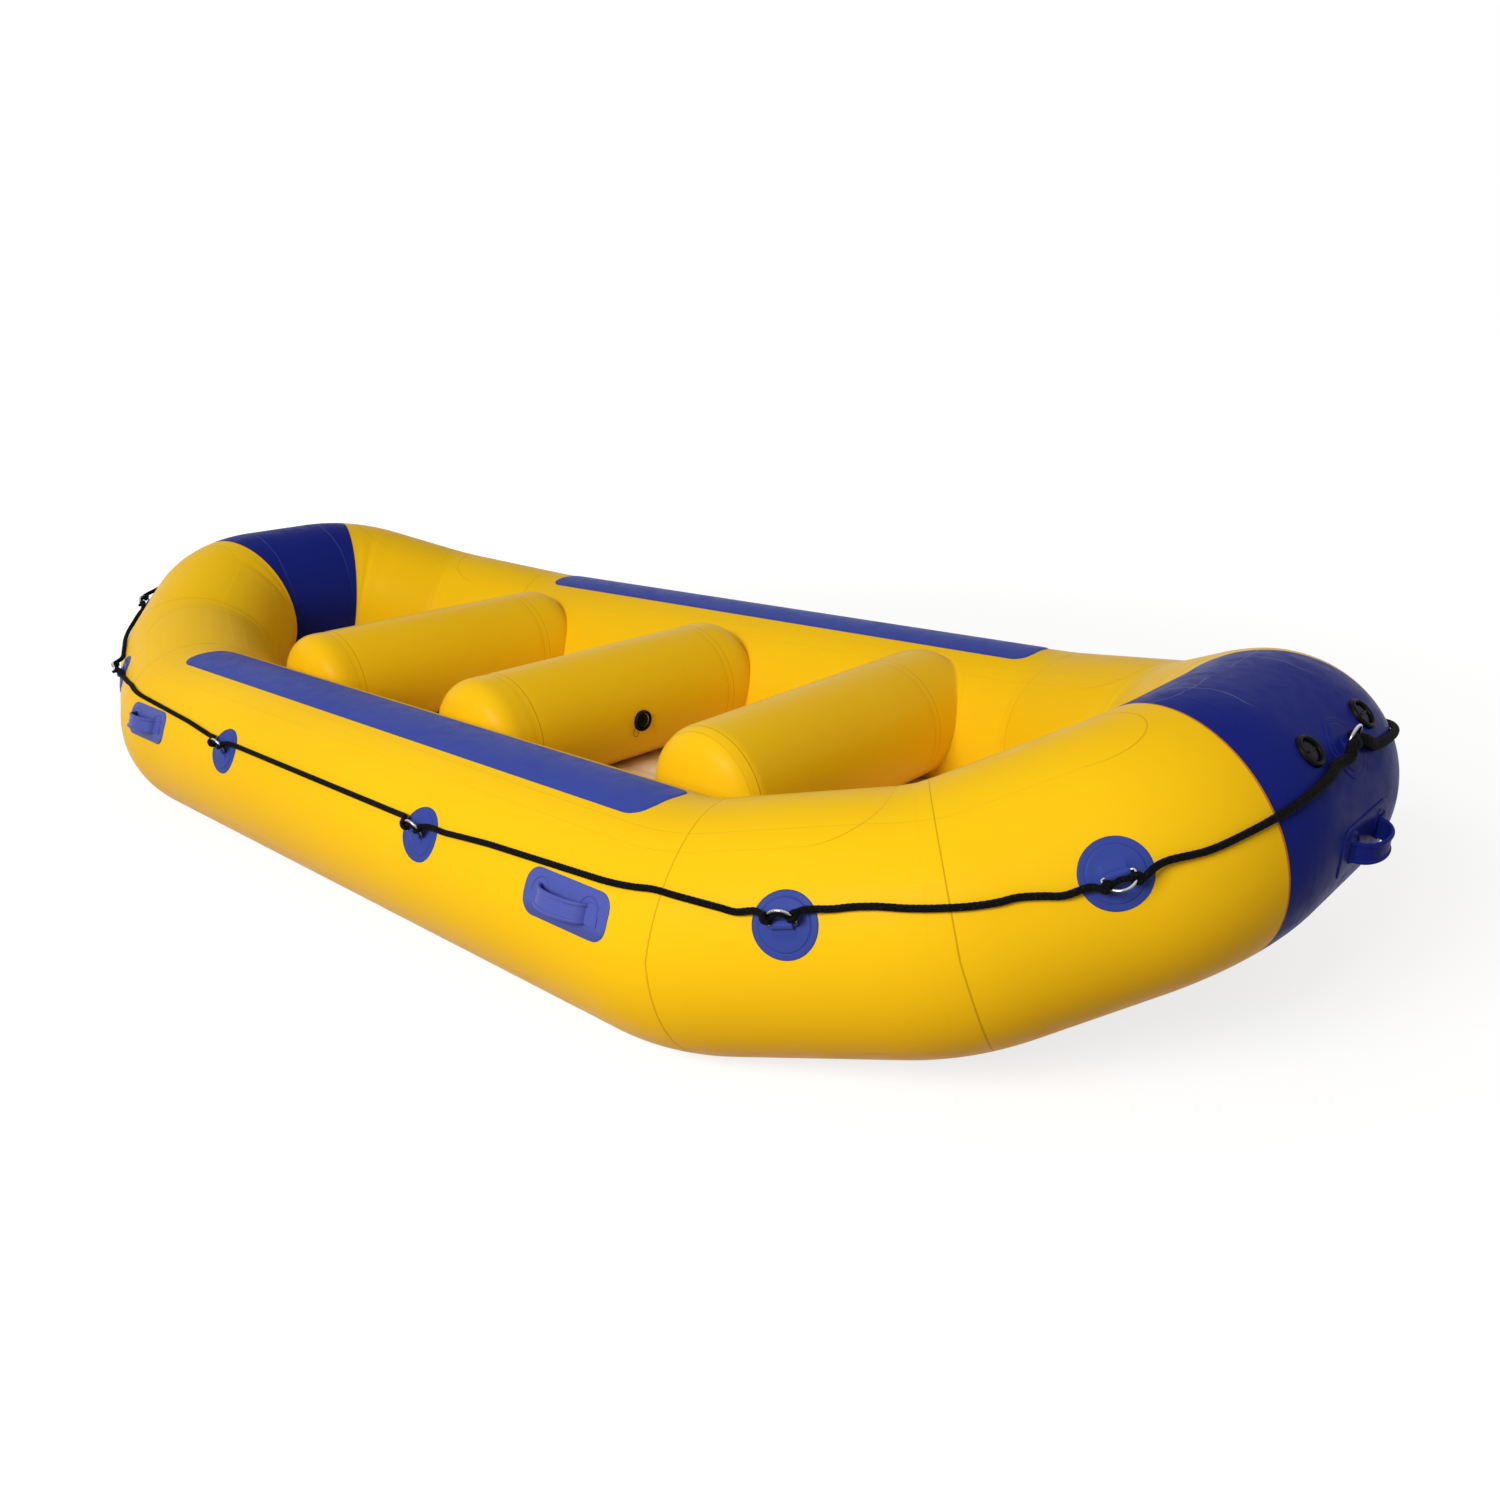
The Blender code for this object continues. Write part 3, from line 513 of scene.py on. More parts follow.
def tube_lines(paint):
    """Mitre seams of a side tube, the rounded ends of its doublers and their taped edges."""
    u, v = paint.uv()
    away = paint.away(u)
    lean = paint.fit(v, 0.04, 0.44, 0.0, 0.056, False)
    edge = ridge = tape = 0.0
    for seam, share in MITRE_SEAMS:
        past = paint.minus(away, paint.plus(paint.times(lean, share), seam))
        edge = paint.most(edge, paint.line(past, 0.0006, 0.0011))
        ridge = paint.plus(ridge, paint.fit(past, -0.0012, 0.0012))
        tape = paint.plus(tape, paint.fit(past, -0.034, -0.028))
    over = paint.minus(paint.away(v), DOUBLER_EDGE)
    for end, half in DOUBLER_ENDS:
        beyond = paint.most(paint.minus(away, end - half), 0.0)
        reach = paint.math("SQRT", paint.plus(paint.square(beyond), paint.square(over)))
        ring = paint.minus(reach, half)
        shown = paint.fit(paint.minus(away, end - half * 0.75), -0.05, 0.05)
        edge = paint.most(edge, paint.times(paint.line(ring, 0.0005, 0.0010), shown))
        lip = paint.fit(ring, -0.0012, 0.0012, 1.0, 0.0)
        ridge = paint.plus(ridge, paint.times(lip, 0.6))
    return edge, paint.plus(ridge, paint.times(tape, 0.35))


END_LAPS = (0.50, 0.22)
END_TAPE = (0.176, 0.181)


def end_lines(paint):
    """Lengthwise overlap of an end tube and the tape at its two joints."""
    u, v = paint.uv()
    lap = paint.minus(v, END_LAPS[0])
    under = paint.plus(v, END_LAPS[1])
    edge = paint.times(paint.line(lap, 0.0006, 0.0012), 0.35)
    ridge = paint.plus(paint.fit(lap, -0.0015, 0.0015), paint.fit(under, -0.0015, 0.0015))
    band = paint.fit(paint.away(u), *END_TAPE)
    return edge, paint.plus(ridge, paint.times(band, 0.4))


def painted_crease_highlights(paint):
    """Thin pale lines along folds of the blue fabric: painted highlight where the folds catch the light."""
    u, v = paint.uv()
    waver = paint.times(paint.minus(paint.noise(paint.where(), 7.0, 3.0), 0.5), 0.035)
    away = paint.plus(paint.away(u), waver)
    across = paint.times(paint.line(paint.minus(away, 0.133), 0.0004, 0.0012),
                        paint.fit(v, 0.30, 0.36))
    bent = paint.plus(v, paint.times(waver, 1.6))
    along = paint.times(paint.line(paint.minus(bent, 0.445), 0.0004, 0.0012),
                       paint.fit(paint.away(u), 0.02, 0.07))
    return paint.most(across, along)


THWART_MIDDLE = 0.034
DOME_SEAM = 0.366
SEAM_ROWS = (0.356, 0.379)


def thwart_lines(paint):
    """Double seam where a thwart's dome meets its barrel, and the lap along the barrel."""
    u, v = paint.uv()
    away = paint.away(u, THWART_MIDDLE)
    first = paint.minus(away, SEAM_ROWS[0])
    second = paint.minus(away, SEAM_ROWS[1])
    lap = paint.times(paint.line(paint.minus(v, -0.34), 0.0006, 0.0012),
                     paint.fit(away, 0.354, 0.356, 1.0, 0.0))
    edge = paint.most(paint.line(first, 0.0006, 0.0012), paint.line(second, 0.0005, 0.001))
    ridge = paint.plus(paint.fit(first, -0.0015, 0.0015), paint.fit(second, -0.001, 0.001, 1.0, 0.0))
    return paint.most(edge, paint.times(lap, 0.6)), ridge


# Middle and radius of the moulded arc over each foot of a handle's strap
ARC_SPOT = (0.074, 0.006)
ARC_RADIUS = 0.029


def handle_lines(paint):
    """Painted shading: a dark line inside the moulded arc over each strap foot, and a darker band below the
    strap.
    """
    u, v = paint.uv()
    away = paint.square(paint.minus(paint.away(u), ARC_SPOT[0]))
    rise = paint.square(paint.minus(v, ARC_SPOT[1]))
    ring = paint.minus(paint.math("SQRT", paint.plus(away, rise)), ARC_RADIUS)
    over = paint.fit(v, -0.004, 0.004)
    # Painted shade: a dark line just inside each arc, where its relief would be shaded
    edge = paint.times(paint.line(paint.plus(ring, 0.0022), 0.0005, 0.0012), over)
    # Painted shade: darker from below the strap down to the pad's lower edge
    low = paint.times(paint.fit(v, -0.020, -0.036), 0.8)
    ridge = paint.times(paint.line(ring, 0.0006, 0.0015), over)
    return paint.most(edge, low), ridge


YELLOW = (0.90, 0.545, 0.008)
YELLOW_DEEP = (0.87, 0.510, 0.006)
BLUE = (0.011, 0.019, 0.205)
BLUE_DEEP = (0.009, 0.016, 0.185)
STRIP = (0.040, 0.066, 0.345)
STRIP_DEEP = (0.035, 0.058, 0.315)
PATCH = (0.038, 0.064, 0.310)
PATCH_DEEP = (0.033, 0.057, 0.285)
# The side handles' blue is lighter than the patches' blue: painted highlight on their moulded relief
LIT_HANDLE_BLUE = (0.075, 0.100, 0.400)
LIT_HANDLE_BLUE_DEEP = (0.064, 0.088, 0.365)

side_paint = pvc("side_tube_pvc", YELLOW, YELLOW_DEEP, 0.36, tube_lines, joint=JOINT, shine=0.15)
thwart_paint = pvc("thwart_pvc", YELLOW, YELLOW_DEEP, 0.33, thwart_lines, shine=0.3)
end_paint = pvc("end_tube_pvc", BLUE, BLUE_DEEP, 0.38, end_lines, scuff=0.10, crease_highlight=painted_crease_highlights, shine=0.10)
end_patch_paint = pvc("end_patch_moulded", BLUE, BLUE_DEEP, 0.36, scuff=0.06, shine=0.10)
strip_paint = pvc("strip_pvc", STRIP, STRIP_DEEP, 0.42, scuff=0.08, shine=0.2)
patch_paint = pvc("patch_moulded", PATCH, PATCH_DEEP, 0.40, scuff=0.08, shine=0.3)
handle_paint = pvc("handle_moulded", LIT_HANDLE_BLUE, LIT_HANDLE_BLUE_DEEP, 0.34, handle_lines, scuff=0.08, shine=0.5)
floor_paint = pvc("floor_coated", (0.90, 0.74, 0.51), (0.86, 0.69, 0.47), 0.5, scuff=0.08)


def steel_paint():
    paint = Paint("polished_steel")
    brushed = paint.noise(paint.where((60, 60, 60)), 9.0, 3.0)
    nick = paint.fit(paint.noise(paint.where(), 420.0, 3.0), 0.62, 0.7)
    rough = paint.plus(paint.fit(brushed, 0.3, 0.7, 0.10, 0.2), paint.times(nick, 0.2))
    # Painted light and shade: the steel darkens on faces that point down and is brightest on top
    down = paint.node("SeparateXYZ", {0: paint.node("NewGeometry").outputs["Normal"]}).outputs[2]
    bright = paint.mix(paint.fit(down, -0.2, 0.95), (0.05, 0.05, 0.06), (0.55, 0.56, 0.58))
    base = paint.mix(paint.times(nick, 0.25), bright, (0.25, 0.24, 0.23))
    return paint.use(Base_Color=base, Metallic=1.0, Roughness=rough, Normal=paint.bump(nick, 0.2, 0.0003))


def rope_paint():
    """Black braid: fine yarns across each plait, a few grey glints."""
    paint = Paint("braided_black")
    u, v = paint.uv()
    along, across = paint.times(u, 1250.0), paint.times(v, 25.13)
    lean, cross = paint.plus(along, across), paint.minus(along, across)
    yarn = paint.most(paint.math("SINE", lean), paint.math("SINE", cross))
    glint = paint.fit(paint.noise(paint.where(), 420.0, 4.0, 0.65), 0.55, 0.72)
    base = paint.mix(glint, (0.0018, 0.0018, 0.0020), (0.028, 0.029, 0.032))
    base = paint.mix(paint.times(paint.fit(yarn, 0.4, 1.0), 0.3), base, (0.008, 0.008, 0.009))
    return paint.use(Base_Color=base, Roughness=paint.fit(glint, 0.0, 1.0, 0.8, 0.6),
                     Normal=paint.bump(yarn, 0.5, 0.0005), IOR=1.2, Specular_IOR_Level=0.25)


def rubber_paint():
    paint = Paint("moulded_black")
    fine = paint.noise(paint.where(), 900.0, 3.0)
    broad = paint.fit(paint.noise(paint.where(), 60.0, 3.0), 0.4, 0.7)
    base = paint.mix(broad, (0.0018, 0.0018, 0.0022), (0.0045, 0.0045, 0.0052))
    return paint.use(Base_Color=base, Roughness=paint.fit(broad, 0.0, 1.0, 0.42, 0.55),
                     Normal=paint.bump(fine, 0.15, 0.0003), IOR=1.24, Specular_IOR_Level=0.25)


steel = steel_paint()
rope_black = rope_paint()
rubber = rubber_paint()


def ride(made, slot, *nodes, body="raft"):
    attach(made, body)
    if nodes:
        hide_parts(*nodes)
    return made


first_bend, second_bend = (sum(piece.length for piece in pieces[:k]) + pieces[k].length / 2 for k in (1, 3))
# Distance, reach and depth of the folds at each bend, and their pitch
FOLDS = ((first_bend, 0.07, 0.0005), (second_bend, 0.08, 0.0010), (2.02, 0.10, 0.0012))
FOLD_PITCH = 0.085
FOLD_ANGLE = 140


def puckers(s, angle):
    """Shallow folds on the inner side of each bend, where the fabric is crowded."""
    away = np.abs(np.mod(s + HALF_LENGTH, LENGTH) - HALF_LENGTH)
    away = np.minimum(away, HALF_LENGTH - away)
    folds = np.zeros_like(angle)
    for spot, wide, depth in FOLDS:
        inner = np.exp(-((np.degrees(angle) - FOLD_ANGLE) / 32) ** 2)
        wave = np.cos((away - spot) * 2 * pi / FOLD_PITCH + angle * 1.4)
        folds = folds + depth * inner * np.exp(-((away - spot) / wide) ** 2) * wave
    return folds


def tube(name, middle, reach, rows, paint):
    """One air tube of the ring, its ends closed by baffles just inside its rim."""
    columns = 132
    s = np.linspace(middle - reach, middle + reach, rows)
    angle = np.arange(columns) * 2 * pi / columns - pi
    ss, aa = np.meshgrid(s, angle, indexing="ij")
    points = skin(ss, aa, puckers(ss, aa))
    rims = []
    for row, step in ((0, 0.0012), (-1, -0.0012)):
        centre = line_at(s[row])[0]
        rims.append(centre + (skin(np.full(columns, s[row] + step), angle) - centre) * 0.97)
    flat = np.vstack([rims[0], points.reshape(-1, 3), rims[1]])
    us = [s[0] - middle] + [x - middle for x in s] + [s[-1] - middle]
    vs = [a * TUBE_RADIUS for a in angle] + [pi * TUBE_RADIUS]
    uv = grid_uv(us, vs) + [(us[0], 0)] * columns + [(us[-1], 0)] * columns
    return mesh(name, flat, drum_faces(rows + 2, columns), paint, uv, 50)


for side, middle in SIDE_MIDDLES.items():
    ride(tube(f"side_skin_{side}", middle, JOINT, 380, side_paint), "yellow_pvc", f"side_tube_{side}")
for end, middle in END_MIDDLES.items():
    ride(tube(f"end_skin_{end}", middle, QUARTER_LENGTH - JOINT, 90, end_paint), "blue_pvc", f"{end}_tube")


# Where each barrel ends to starboard and to port, and how far it lies askew; a dome's length and fullness
THWART_ENDS = {"front": (-0.298, 0.538, 0.0), "middle": (-0.380, 0.433, 0.06), "rear": (-0.364, 0.450, 0.06)}
STARBOARD_DOME = (0.10, 2.5)
PORT_DOME = (0.127, 3.1)
THWART_VALVE_Y = 0.035
BARREL_ROWS = 80


def dome(full):
    """Shares of length, and radii, along a domed end from its barrel to its tip."""
    turn = np.linspace(0, pi / 2 - 0.012, 30)[1:]
    return np.sin(turn), THWART_RADIUS * (1 - np.sin(turn) ** full) ** (1 / full)


def thwart(name, label):
    """Cross tube with full domed ends pressed against the side tubes and resting on the floor."""
    x, facing = THWARTS[label]
    low, high, skew = THWART_ENDS[label]
    barrel = np.linspace(low, high, BARREL_ROWS)
    reach, near = dome(STARBOARD_DOME[1])
    far = dome(PORT_DOME[1])[1]
    ys = np.concatenate([low - STARBOARD_DOME[0] * reach[::-1], barrel, high + PORT_DOME[0] * reach])
    rs = np.concatenate([near[::-1], np.full(BARREL_ROWS, THWART_RADIUS), far])
    for seam in (THWART_MIDDLE - DOME_SEAM, THWART_MIDDLE + DOME_SEAM):
        rs = rs - 0.0014 * np.exp(-((ys - seam) / 0.010) ** 2)
    columns = 108
    angle = np.arange(columns) * 2 * pi / columns - pi
    yy, aa = np.meshgrid(ys, angle, indexing="ij")
    rr = np.broadcast_to(rs[:, None], yy.shape)
    crease = np.exp(-((aa + 0.66 - 0.35 * yy) / 0.07) ** 2) * np.clip((yy + 0.15) / 0.2, 0, 1)
    rr = rr - 0.0022 * crease * (label == "front")
    xx = x + skew * (yy - THWART_VALVE_Y) + rr * np.cos(aa)
    points = np.stack([xx, yy, THWART_Z + rr * np.sin(aa)], -1).reshape(-1, 3)
    points = clear_of_ring(points, PRESSED_GAP)
    points[:, 2] = np.maximum(points[:, 2], FLOOR_TOP + PRESSED_GAP)
    vs = [a * THWART_RADIUS for a in angle] + [pi * THWART_RADIUS]
    uv = grid_uv(list(ys), vs, True) + [(-0.5, 0)] * columns + [(0.5, 0)] * columns
    return mesh(name, points, drum_faces(len(ys), columns, True), thwart_paint, uv, 50)


for label in THWARTS:
    ride(thwart(f"thwart_skin_{label}", label), "yellow_pvc", f"thwart_{label}")


def rocker(x):
    share = np.maximum(0, np.abs(x) - SIDE_CORNER_X) / (END_X - SIDE_CORNER_X)
    return ROCKER_RISE * share ** 1.8


FLUTE_PITCH = 0.098
FLUTE_DEPTH = 0.006
FLOOR_TUCK = 0.12


def inflated_floor():
    """Floor with lengthwise flutes, tucked under the ring all round."""
    rows, columns = 180, 120
    half_long = END_X - TUBE_RADIUS + FLOOR_TUCK
    xs = np.linspace(-half_long, half_long, rows)
    side = line_at(np.linspace(-QUARTER_LENGTH, QUARTER_LENGTH, 900))[0]
    line_y = np.interp(xs, side[:, 0], -side[:, 1])
    half = np.minimum(AXIS_Y - TUBE_RADIUS + FLOOR_TUCK, line_y - 0.14)
    share = np.linspace(-1, 1, columns)
    yy = half[:, None] * share[None]
    xx = np.broadcast_to(xs[:, None], yy.shape)
    flute = FLUTE_DEPTH * (np.abs(np.cos(yy / FLUTE_PITCH * pi)) ** 0.6 - 1)
    edge = np.clip((1 - np.abs(share[None])) / 0.03, 0, 1) ** 0.5
    middle = (FLOOR_TOP + FLOOR_BOTTOM) / 2
    top = np.stack([xx, yy, middle + (FLOOR_TOP - middle) * edge + flute * edge + rocker(xx)], -1)
    low = np.stack([xx, yy, middle - (middle - FLOOR_BOTTOM) * edge - flute * edge * 0.5 + rocker(xx)], -1)
    loop = np.concatenate([top, low[:, ::-1]], 1)
    wide = loop.shape[1]
    points = clear_of_ring(loop.reshape(-1, 3), 0.0008)
    return mesh("floor_skin", points, drum_faces(rows, wide, True), floor_paint, None, 60)


ride(inflated_floor(), "floor_pvc", "floor_panel")


# Half length, half width and corner radius of the pads
STRIP_PAD = (1.07, 0.0825, 0.05)
HANDLE_PAD = (0.1265, 0.0500, 0.035)


def rounded(a, b, long, wide, corner):
    """Spots of a rectangle with rounded corners, from its half length and half width."""
    x = a * long
    past = np.maximum(np.abs(x) - (long - corner), 0)
    return x, b * (wide - corner + np.sqrt(np.maximum(corner ** 2 - past ** 2, 0)))


def strip_outline(a, b):
    x, y = rounded(a, b, *STRIP_PAD)
    height = 0.0026 * (1 - np.abs(b) ** 24 * 0.5) * (1 - np.abs(a) ** 400 * 0.5)
    return x, y, height


for label, s in SIDE_MIDDLES.items():
    ride(sheet(f"strip_skin_{label}", 300, 24, strip_outline, seat(s, pi / 2), s, strip_paint), "patch_pvc",
         f"wear_strip_{label}")


PATCH_RADIUS = 0.064


def patch_height(x, y):
    """Moulded disc: thin rim, raised middle, and a swelling round the ring's bar."""
    reach = np.hypot(x, y)
    rim = 0.0020 * np.clip((PATCH_RADIUS - reach) / 0.0014, 0, 1) ** 0.5
    step = 0.0016 / (1 + np.exp((reach - 0.0495) / 0.0006))
    groove = -0.0008 * np.exp(-((reach - 0.0512) / 0.0009) ** 2)
    swell = 0.0042 * np.exp(-np.abs(x / 0.026) ** 4) * np.exp(-np.abs((y + 0.004) / 0.017) ** 3)
    return rim + step + groove + swell


def ring_patch(name, s, angle, hanging, paint):
    reaches = np.concatenate([np.linspace(0.002, 0.047, 20), np.linspace(0.0475, 0.054, 14),
                              np.linspace(0.056, 0.0622, 5), [0.0632, 0.0638, PATCH_RADIUS, PATCH_RADIUS]])
    columns = 80
    turn = np.arange(columns) * 2 * pi / columns
    rr, tt = np.meshgrid(reaches, turn, indexing="ij")
    x, y = rr * np.cos(tt), rr * np.sin(tt)
    height = patch_height(x, -y if hanging else y) * (0.7 if paint == end_patch_paint else 1)
    height[-1] = SKIRT
    points = lay(seat(s, angle), s, np.stack([x, y, height], -1).reshape(-1, 3))
    faces = grid_faces(len(reaches), columns, True)
    faces.append(tuple(range(columns))[::-1])
    return mesh(name, points, faces, paint, None, 45)


def keeper(name, s, angle, paint):
    """Tunnel over the ring's bar, drawn down to the patch on both sides."""
    foot = [(0.0118, 0.0074), (0.016, 0.0058), (0.021, 0.0045)]
    bore = 0.0083
    turns = np.linspace(radians(-105), radians(105), 22)
    arc = [(bore * sin(t), KEEPER_HEIGHT + bore * cos(t)) for t in turns]
    under = [(0.018, 0.003), (0, 0.003), (-0.018, 0.003)]
    profile = np.array([(-y, z) for y, z in foot[::-1]] + arc + foot + under)
    rows = [(-0.0218, 0.80), (-0.0214, 0.92), (-0.0205, 0.985), (-0.019, 1.0)]
    rows += [(x, 1.0) for x in np.linspace(-0.016, 0.016, 9)]
    rows += [(-x, k) for x, k in rows[:4][::-1]]
    spots = []
    for x, scale in rows:
        centre = np.array((0.0, KEEPER_HEIGHT * 0.5))
        for y, z in (profile - centre) * scale + centre:
            spots.append((x, y, z))
    faces = drum_faces(len(rows), len(profile))
    return mesh(name, move(seat(s, angle), spots), faces, paint, None, 40)


# Centre line of a D-ring's wire: half its width, the corners' radius and its height over the bar
RING = (0.0285, 0.005, 0.038)


def ring_path():
    half, corner, height = RING
    path = []
    for t in np.linspace(0, pi, 40):
        path.append((half * cos(t), corner + (height - corner) * sin(t), 0))
    for t in np.linspace(0, pi / 2, 8)[1:]:
        path.append((-half + corner * (1 - cos(t)), corner * (1 - sin(t)), 0))
    for t in np.linspace(pi / 2, 0, 8)[:-1]:
        path.append((half - corner * (1 - cos(t)), corner * (1 - sin(t)), 0))
    return path


def ring_stations():
    """Name, distance, angle and whether it hangs, for every ring in order along the rope."""
    stations = [(end, middle, END_RING_ANGLE, False) for end, middle in END_MIDDLES.items()]
    for label, distance, angle in RING_SPOTS:
        for side, end, s in four_corners(distance):
            stations.append((f"{side}_{label}_{end}", s, angle, label == "nose" and end == "bow"))
    return sorted(stations, key=lambda station: station[1])


RING_TILT = radians(48)


def ring_place(s, angle, hanging):
    tilt = pi - RING_TILT if hanging else RING_TILT
    return seat(s, angle) @ Matrix.Translation((0, 0, KEEPER_HEIGHT)) @ Matrix.Rotation(tilt, 4, "X")


ring_line = even(ring_path(), 0.0022)
for label, s, angle, hanging in ring_stations():
    nodes = () if label in END_MIDDLES else (f"d_ring_patch_{label}",)
    paint = patch_paint if nodes else end_patch_paint
    ride(ring_patch(f"patch_skin_{label}", s, angle, hanging, paint), "patch_pvc", *nodes)
    ride(keeper(f"keeper_{label}", s, angle, paint), "patch_pvc")
    bent = move(ring_place(s, angle, hanging), ring_line)
    wire = swept(f"d_ring_bright_{label}", bent, WIRE_RADIUS, 16, steel)
    ride(wire, "steel", f"d_ring_{label}", body=f"ring_{label}")


def hitch(hanging, label):
    """Rope at a ring, in the ring's frame: turns on both sides and a run between, or a plain pass."""
    if label in END_MIDDLES:
        passing = [(-0.034, 0.011, 0.0090), (-0.022, 0.013, 0.0115), (0, 0.014, 0.0),
                   (0.022, 0.010, -0.0090), (0.034, 0.004, 0.0040)]
        return passing if label == "bow" else [(-x, y, z) for x, y, z in passing[::-1]]
    half, corner, height = RING
    reach = WIRE_RADIUS + 0.0052
    outer, inner = 144, 160
    side = -1 if hanging else 1
    path = []
    for step in range(61):
        share = step / 60
        first = min(share / 0.38, 1)
        last = max((share - 0.62) / 0.38, 0)
        middle = min(max((share - 0.38) / 0.24, 0), 1)
        arc = radians(outer - (outer - inner) * first - (2 * inner - 180) * middle - (outer - inner) * last)
        phase = radians(30 + 510 * first + 510 * last)
        centre = np.array((half * cos(arc), corner + (height - corner) * sin(arc), 0))
        out = unit(np.array((cos(arc) / half, sin(arc) / (height - corner), 0)))
        spot = centre + reach * (out * cos(phase) + np.array((0, 0, side)) * sin(phase))
        if hanging:
            low = np.array((spot[0], 0.0165, side * 0.003))
            spot = spot + (low - spot) * sin(pi * middle) ** 0.7
        path.append(spot)
    return path


def leads(label, hanging):
    """How far over a ring's middle the rope comes in and goes out, as lengths round the tube."""
    if label in END_MIDDLES:
        pair = (-0.014, -0.026)
    elif hanging:
        pair = (-0.004, 0.001)
    else:
        pair = (0.022, 0.040) if "nose" in label else (0.025, 0.025)
    return pair if label == "bow" or label.startswith("starboard") else pair[::-1]


# From a ring's middle to where its rope stands off the skin, and to where it lies down
STAND_OFF = 0.050
LAY_DOWN = 0.092


def stand_off(s, angle, lead, taped):
    """Spot off the skin beside a ring; taped rope stands higher and leaves straighter."""
    near = angle + (lead - angle) * (0.35 if taped else 1)
    return tuple(skin(s, near, 0.0185 if taped else 0.0165))


def rope_route():
    """Grab line along the skin, drawn tight over the bends, with a hitch on every ring."""
    stations = ring_stations()
    path = []
    for index, (label, s, angle, hanging) in enumerate(stations):
        next_label, next_s, next_angle, next_hanging = stations[(index + 1) % len(stations)]
        if next_s < s:
            next_s += LENGTH
        path += [tuple(p) for p in move(ring_place(s, angle, hanging), hitch(hanging, label))]
        start_angle = angle + leads(label, hanging)[1] / TUBE_RADIUS
        end_angle = next_angle + leads(next_label, next_hanging)[0] / TUBE_RADIUS
        start, end = s + LAY_DOWN, next_s - LAY_DOWN
        first = skin(start, start_angle, ROPE_RADIUS)
        last = skin(end, end_angle, ROPE_RADIUS)

        def chord(share):
            centre, way, level, over = line_at(start + (end - start) * share)
            reach = first * (1 - share) + last * share - centre
            return atan2(reach @ over, reach @ level)

        if label in END_MIDDLES or next_label in END_MIDDLES:
            early, late = start_angle * 0.8 + end_angle * 0.2, start_angle * 0.2 + end_angle * 0.8
        else:
            early, late = chord(0.2), chord(0.8)
        path.append(stand_off(s + STAND_OFF, angle, start_angle, label == "bow"))
        for share in np.linspace(0, 1, max(5, int((end - start) / 0.03))):
            round_angle = np.interp(share, (0, 0.2, 0.8, 1), (start_angle, early, late, end_angle))
            path.append(tuple(skin(start + (end - start) * share, round_angle, ROPE_RADIUS + 0.0012)))
        path.append(stand_off(next_s - STAND_OFF, next_angle, end_angle, next_label == "stern"))
    return path


def rope_size(points):
    """Drawn thin where it turns round a ring, doubled and taped beside the end rings."""
    size = np.full(len(points), ROPE_RADIUS)
    for label, s, angle, hanging in ring_stations():
        middle = move(ring_place(s, angle, hanging), (0, 0.02, 0))
        far = np.linalg.norm(points - middle, axis=1)
        if label in END_MIDDLES:
            size *= 1 + 0.62 * np.clip((0.40 - far) / 0.30, 0, 1) ** 1.3 * np.clip(far / 0.03, 0.6, 1)
        else:
            size *= 1 - 0.24 * np.clip((0.046 - far) / 0.014, 0, 1)
    return size


PLAIT_LENGTH = 0.0105


def braid(length, angle, total):
    """Four columns of long plaits that lean to and fro."""
    repeat = total / round(total / PLAIT_LENGTH)
    column = np.mod(angle * 4 / (2 * pi), 1) * 2 - 1
    number = np.floor(angle * 4 / (2 * pi))
    lean = length / repeat + 0.4 * np.abs(column) + 0.5 * np.mod(number, 2)
    stitch = np.abs(np.sin(pi * lean)) ** 0.7
    return 0.86 + 0.06 * np.sqrt(np.clip(1 - column ** 2, 0, 1)) + 0.12 * stitch


steps = 6
route = rope_route()
route = smooth_profile(np.vstack([route[-2:], route, route[:3]]), steps)[2 * steps:-3 * steps]
route = even(route, 0.0024)
for _ in range(3):
    route = (np.roll(route, 1, 0) + 2 * route + np.roll(route, -1, 0)) / 4
ride(swept("grab_line", route, rope_size(route), 24, rope_black, braid), "black_rope", "grab_rope")


def handle_outline(a, b):
    """Rounded pad with a moulded arc over each foot of the strap."""
    x, y = rounded(a, b, *HANDLE_PAD)
    reach = np.hypot(np.abs(x) - ARC_SPOT[0], y - ARC_SPOT[1])
    arcs = np.exp(-((reach - ARC_RADIUS) / 0.0017) ** 2) * np.clip((y + 0.002) / 0.006, 0, 1)
    pad = 0.0030 * (1 - np.abs(b) ** 16 * 0.45) * (1 - np.abs(a) ** 30 * 0.45)
    return x, y, pad + 0.0022 * arcs


def lap_outline(a, b):
    """Square lap glued over a foot of the strap, with the moulded cloth mark on it."""
    x, y = 0.0855 + a * 0.0175, b * 0.0225
    mark = 0.00022 * np.sin(x * 2 * pi / 0.0022) * np.sin(y * 2 * pi / 0.0022)
    return x, y, 0.0088 - 0.0020 * (1 + a) + mark - 0.0014 * np.abs(b) ** 8


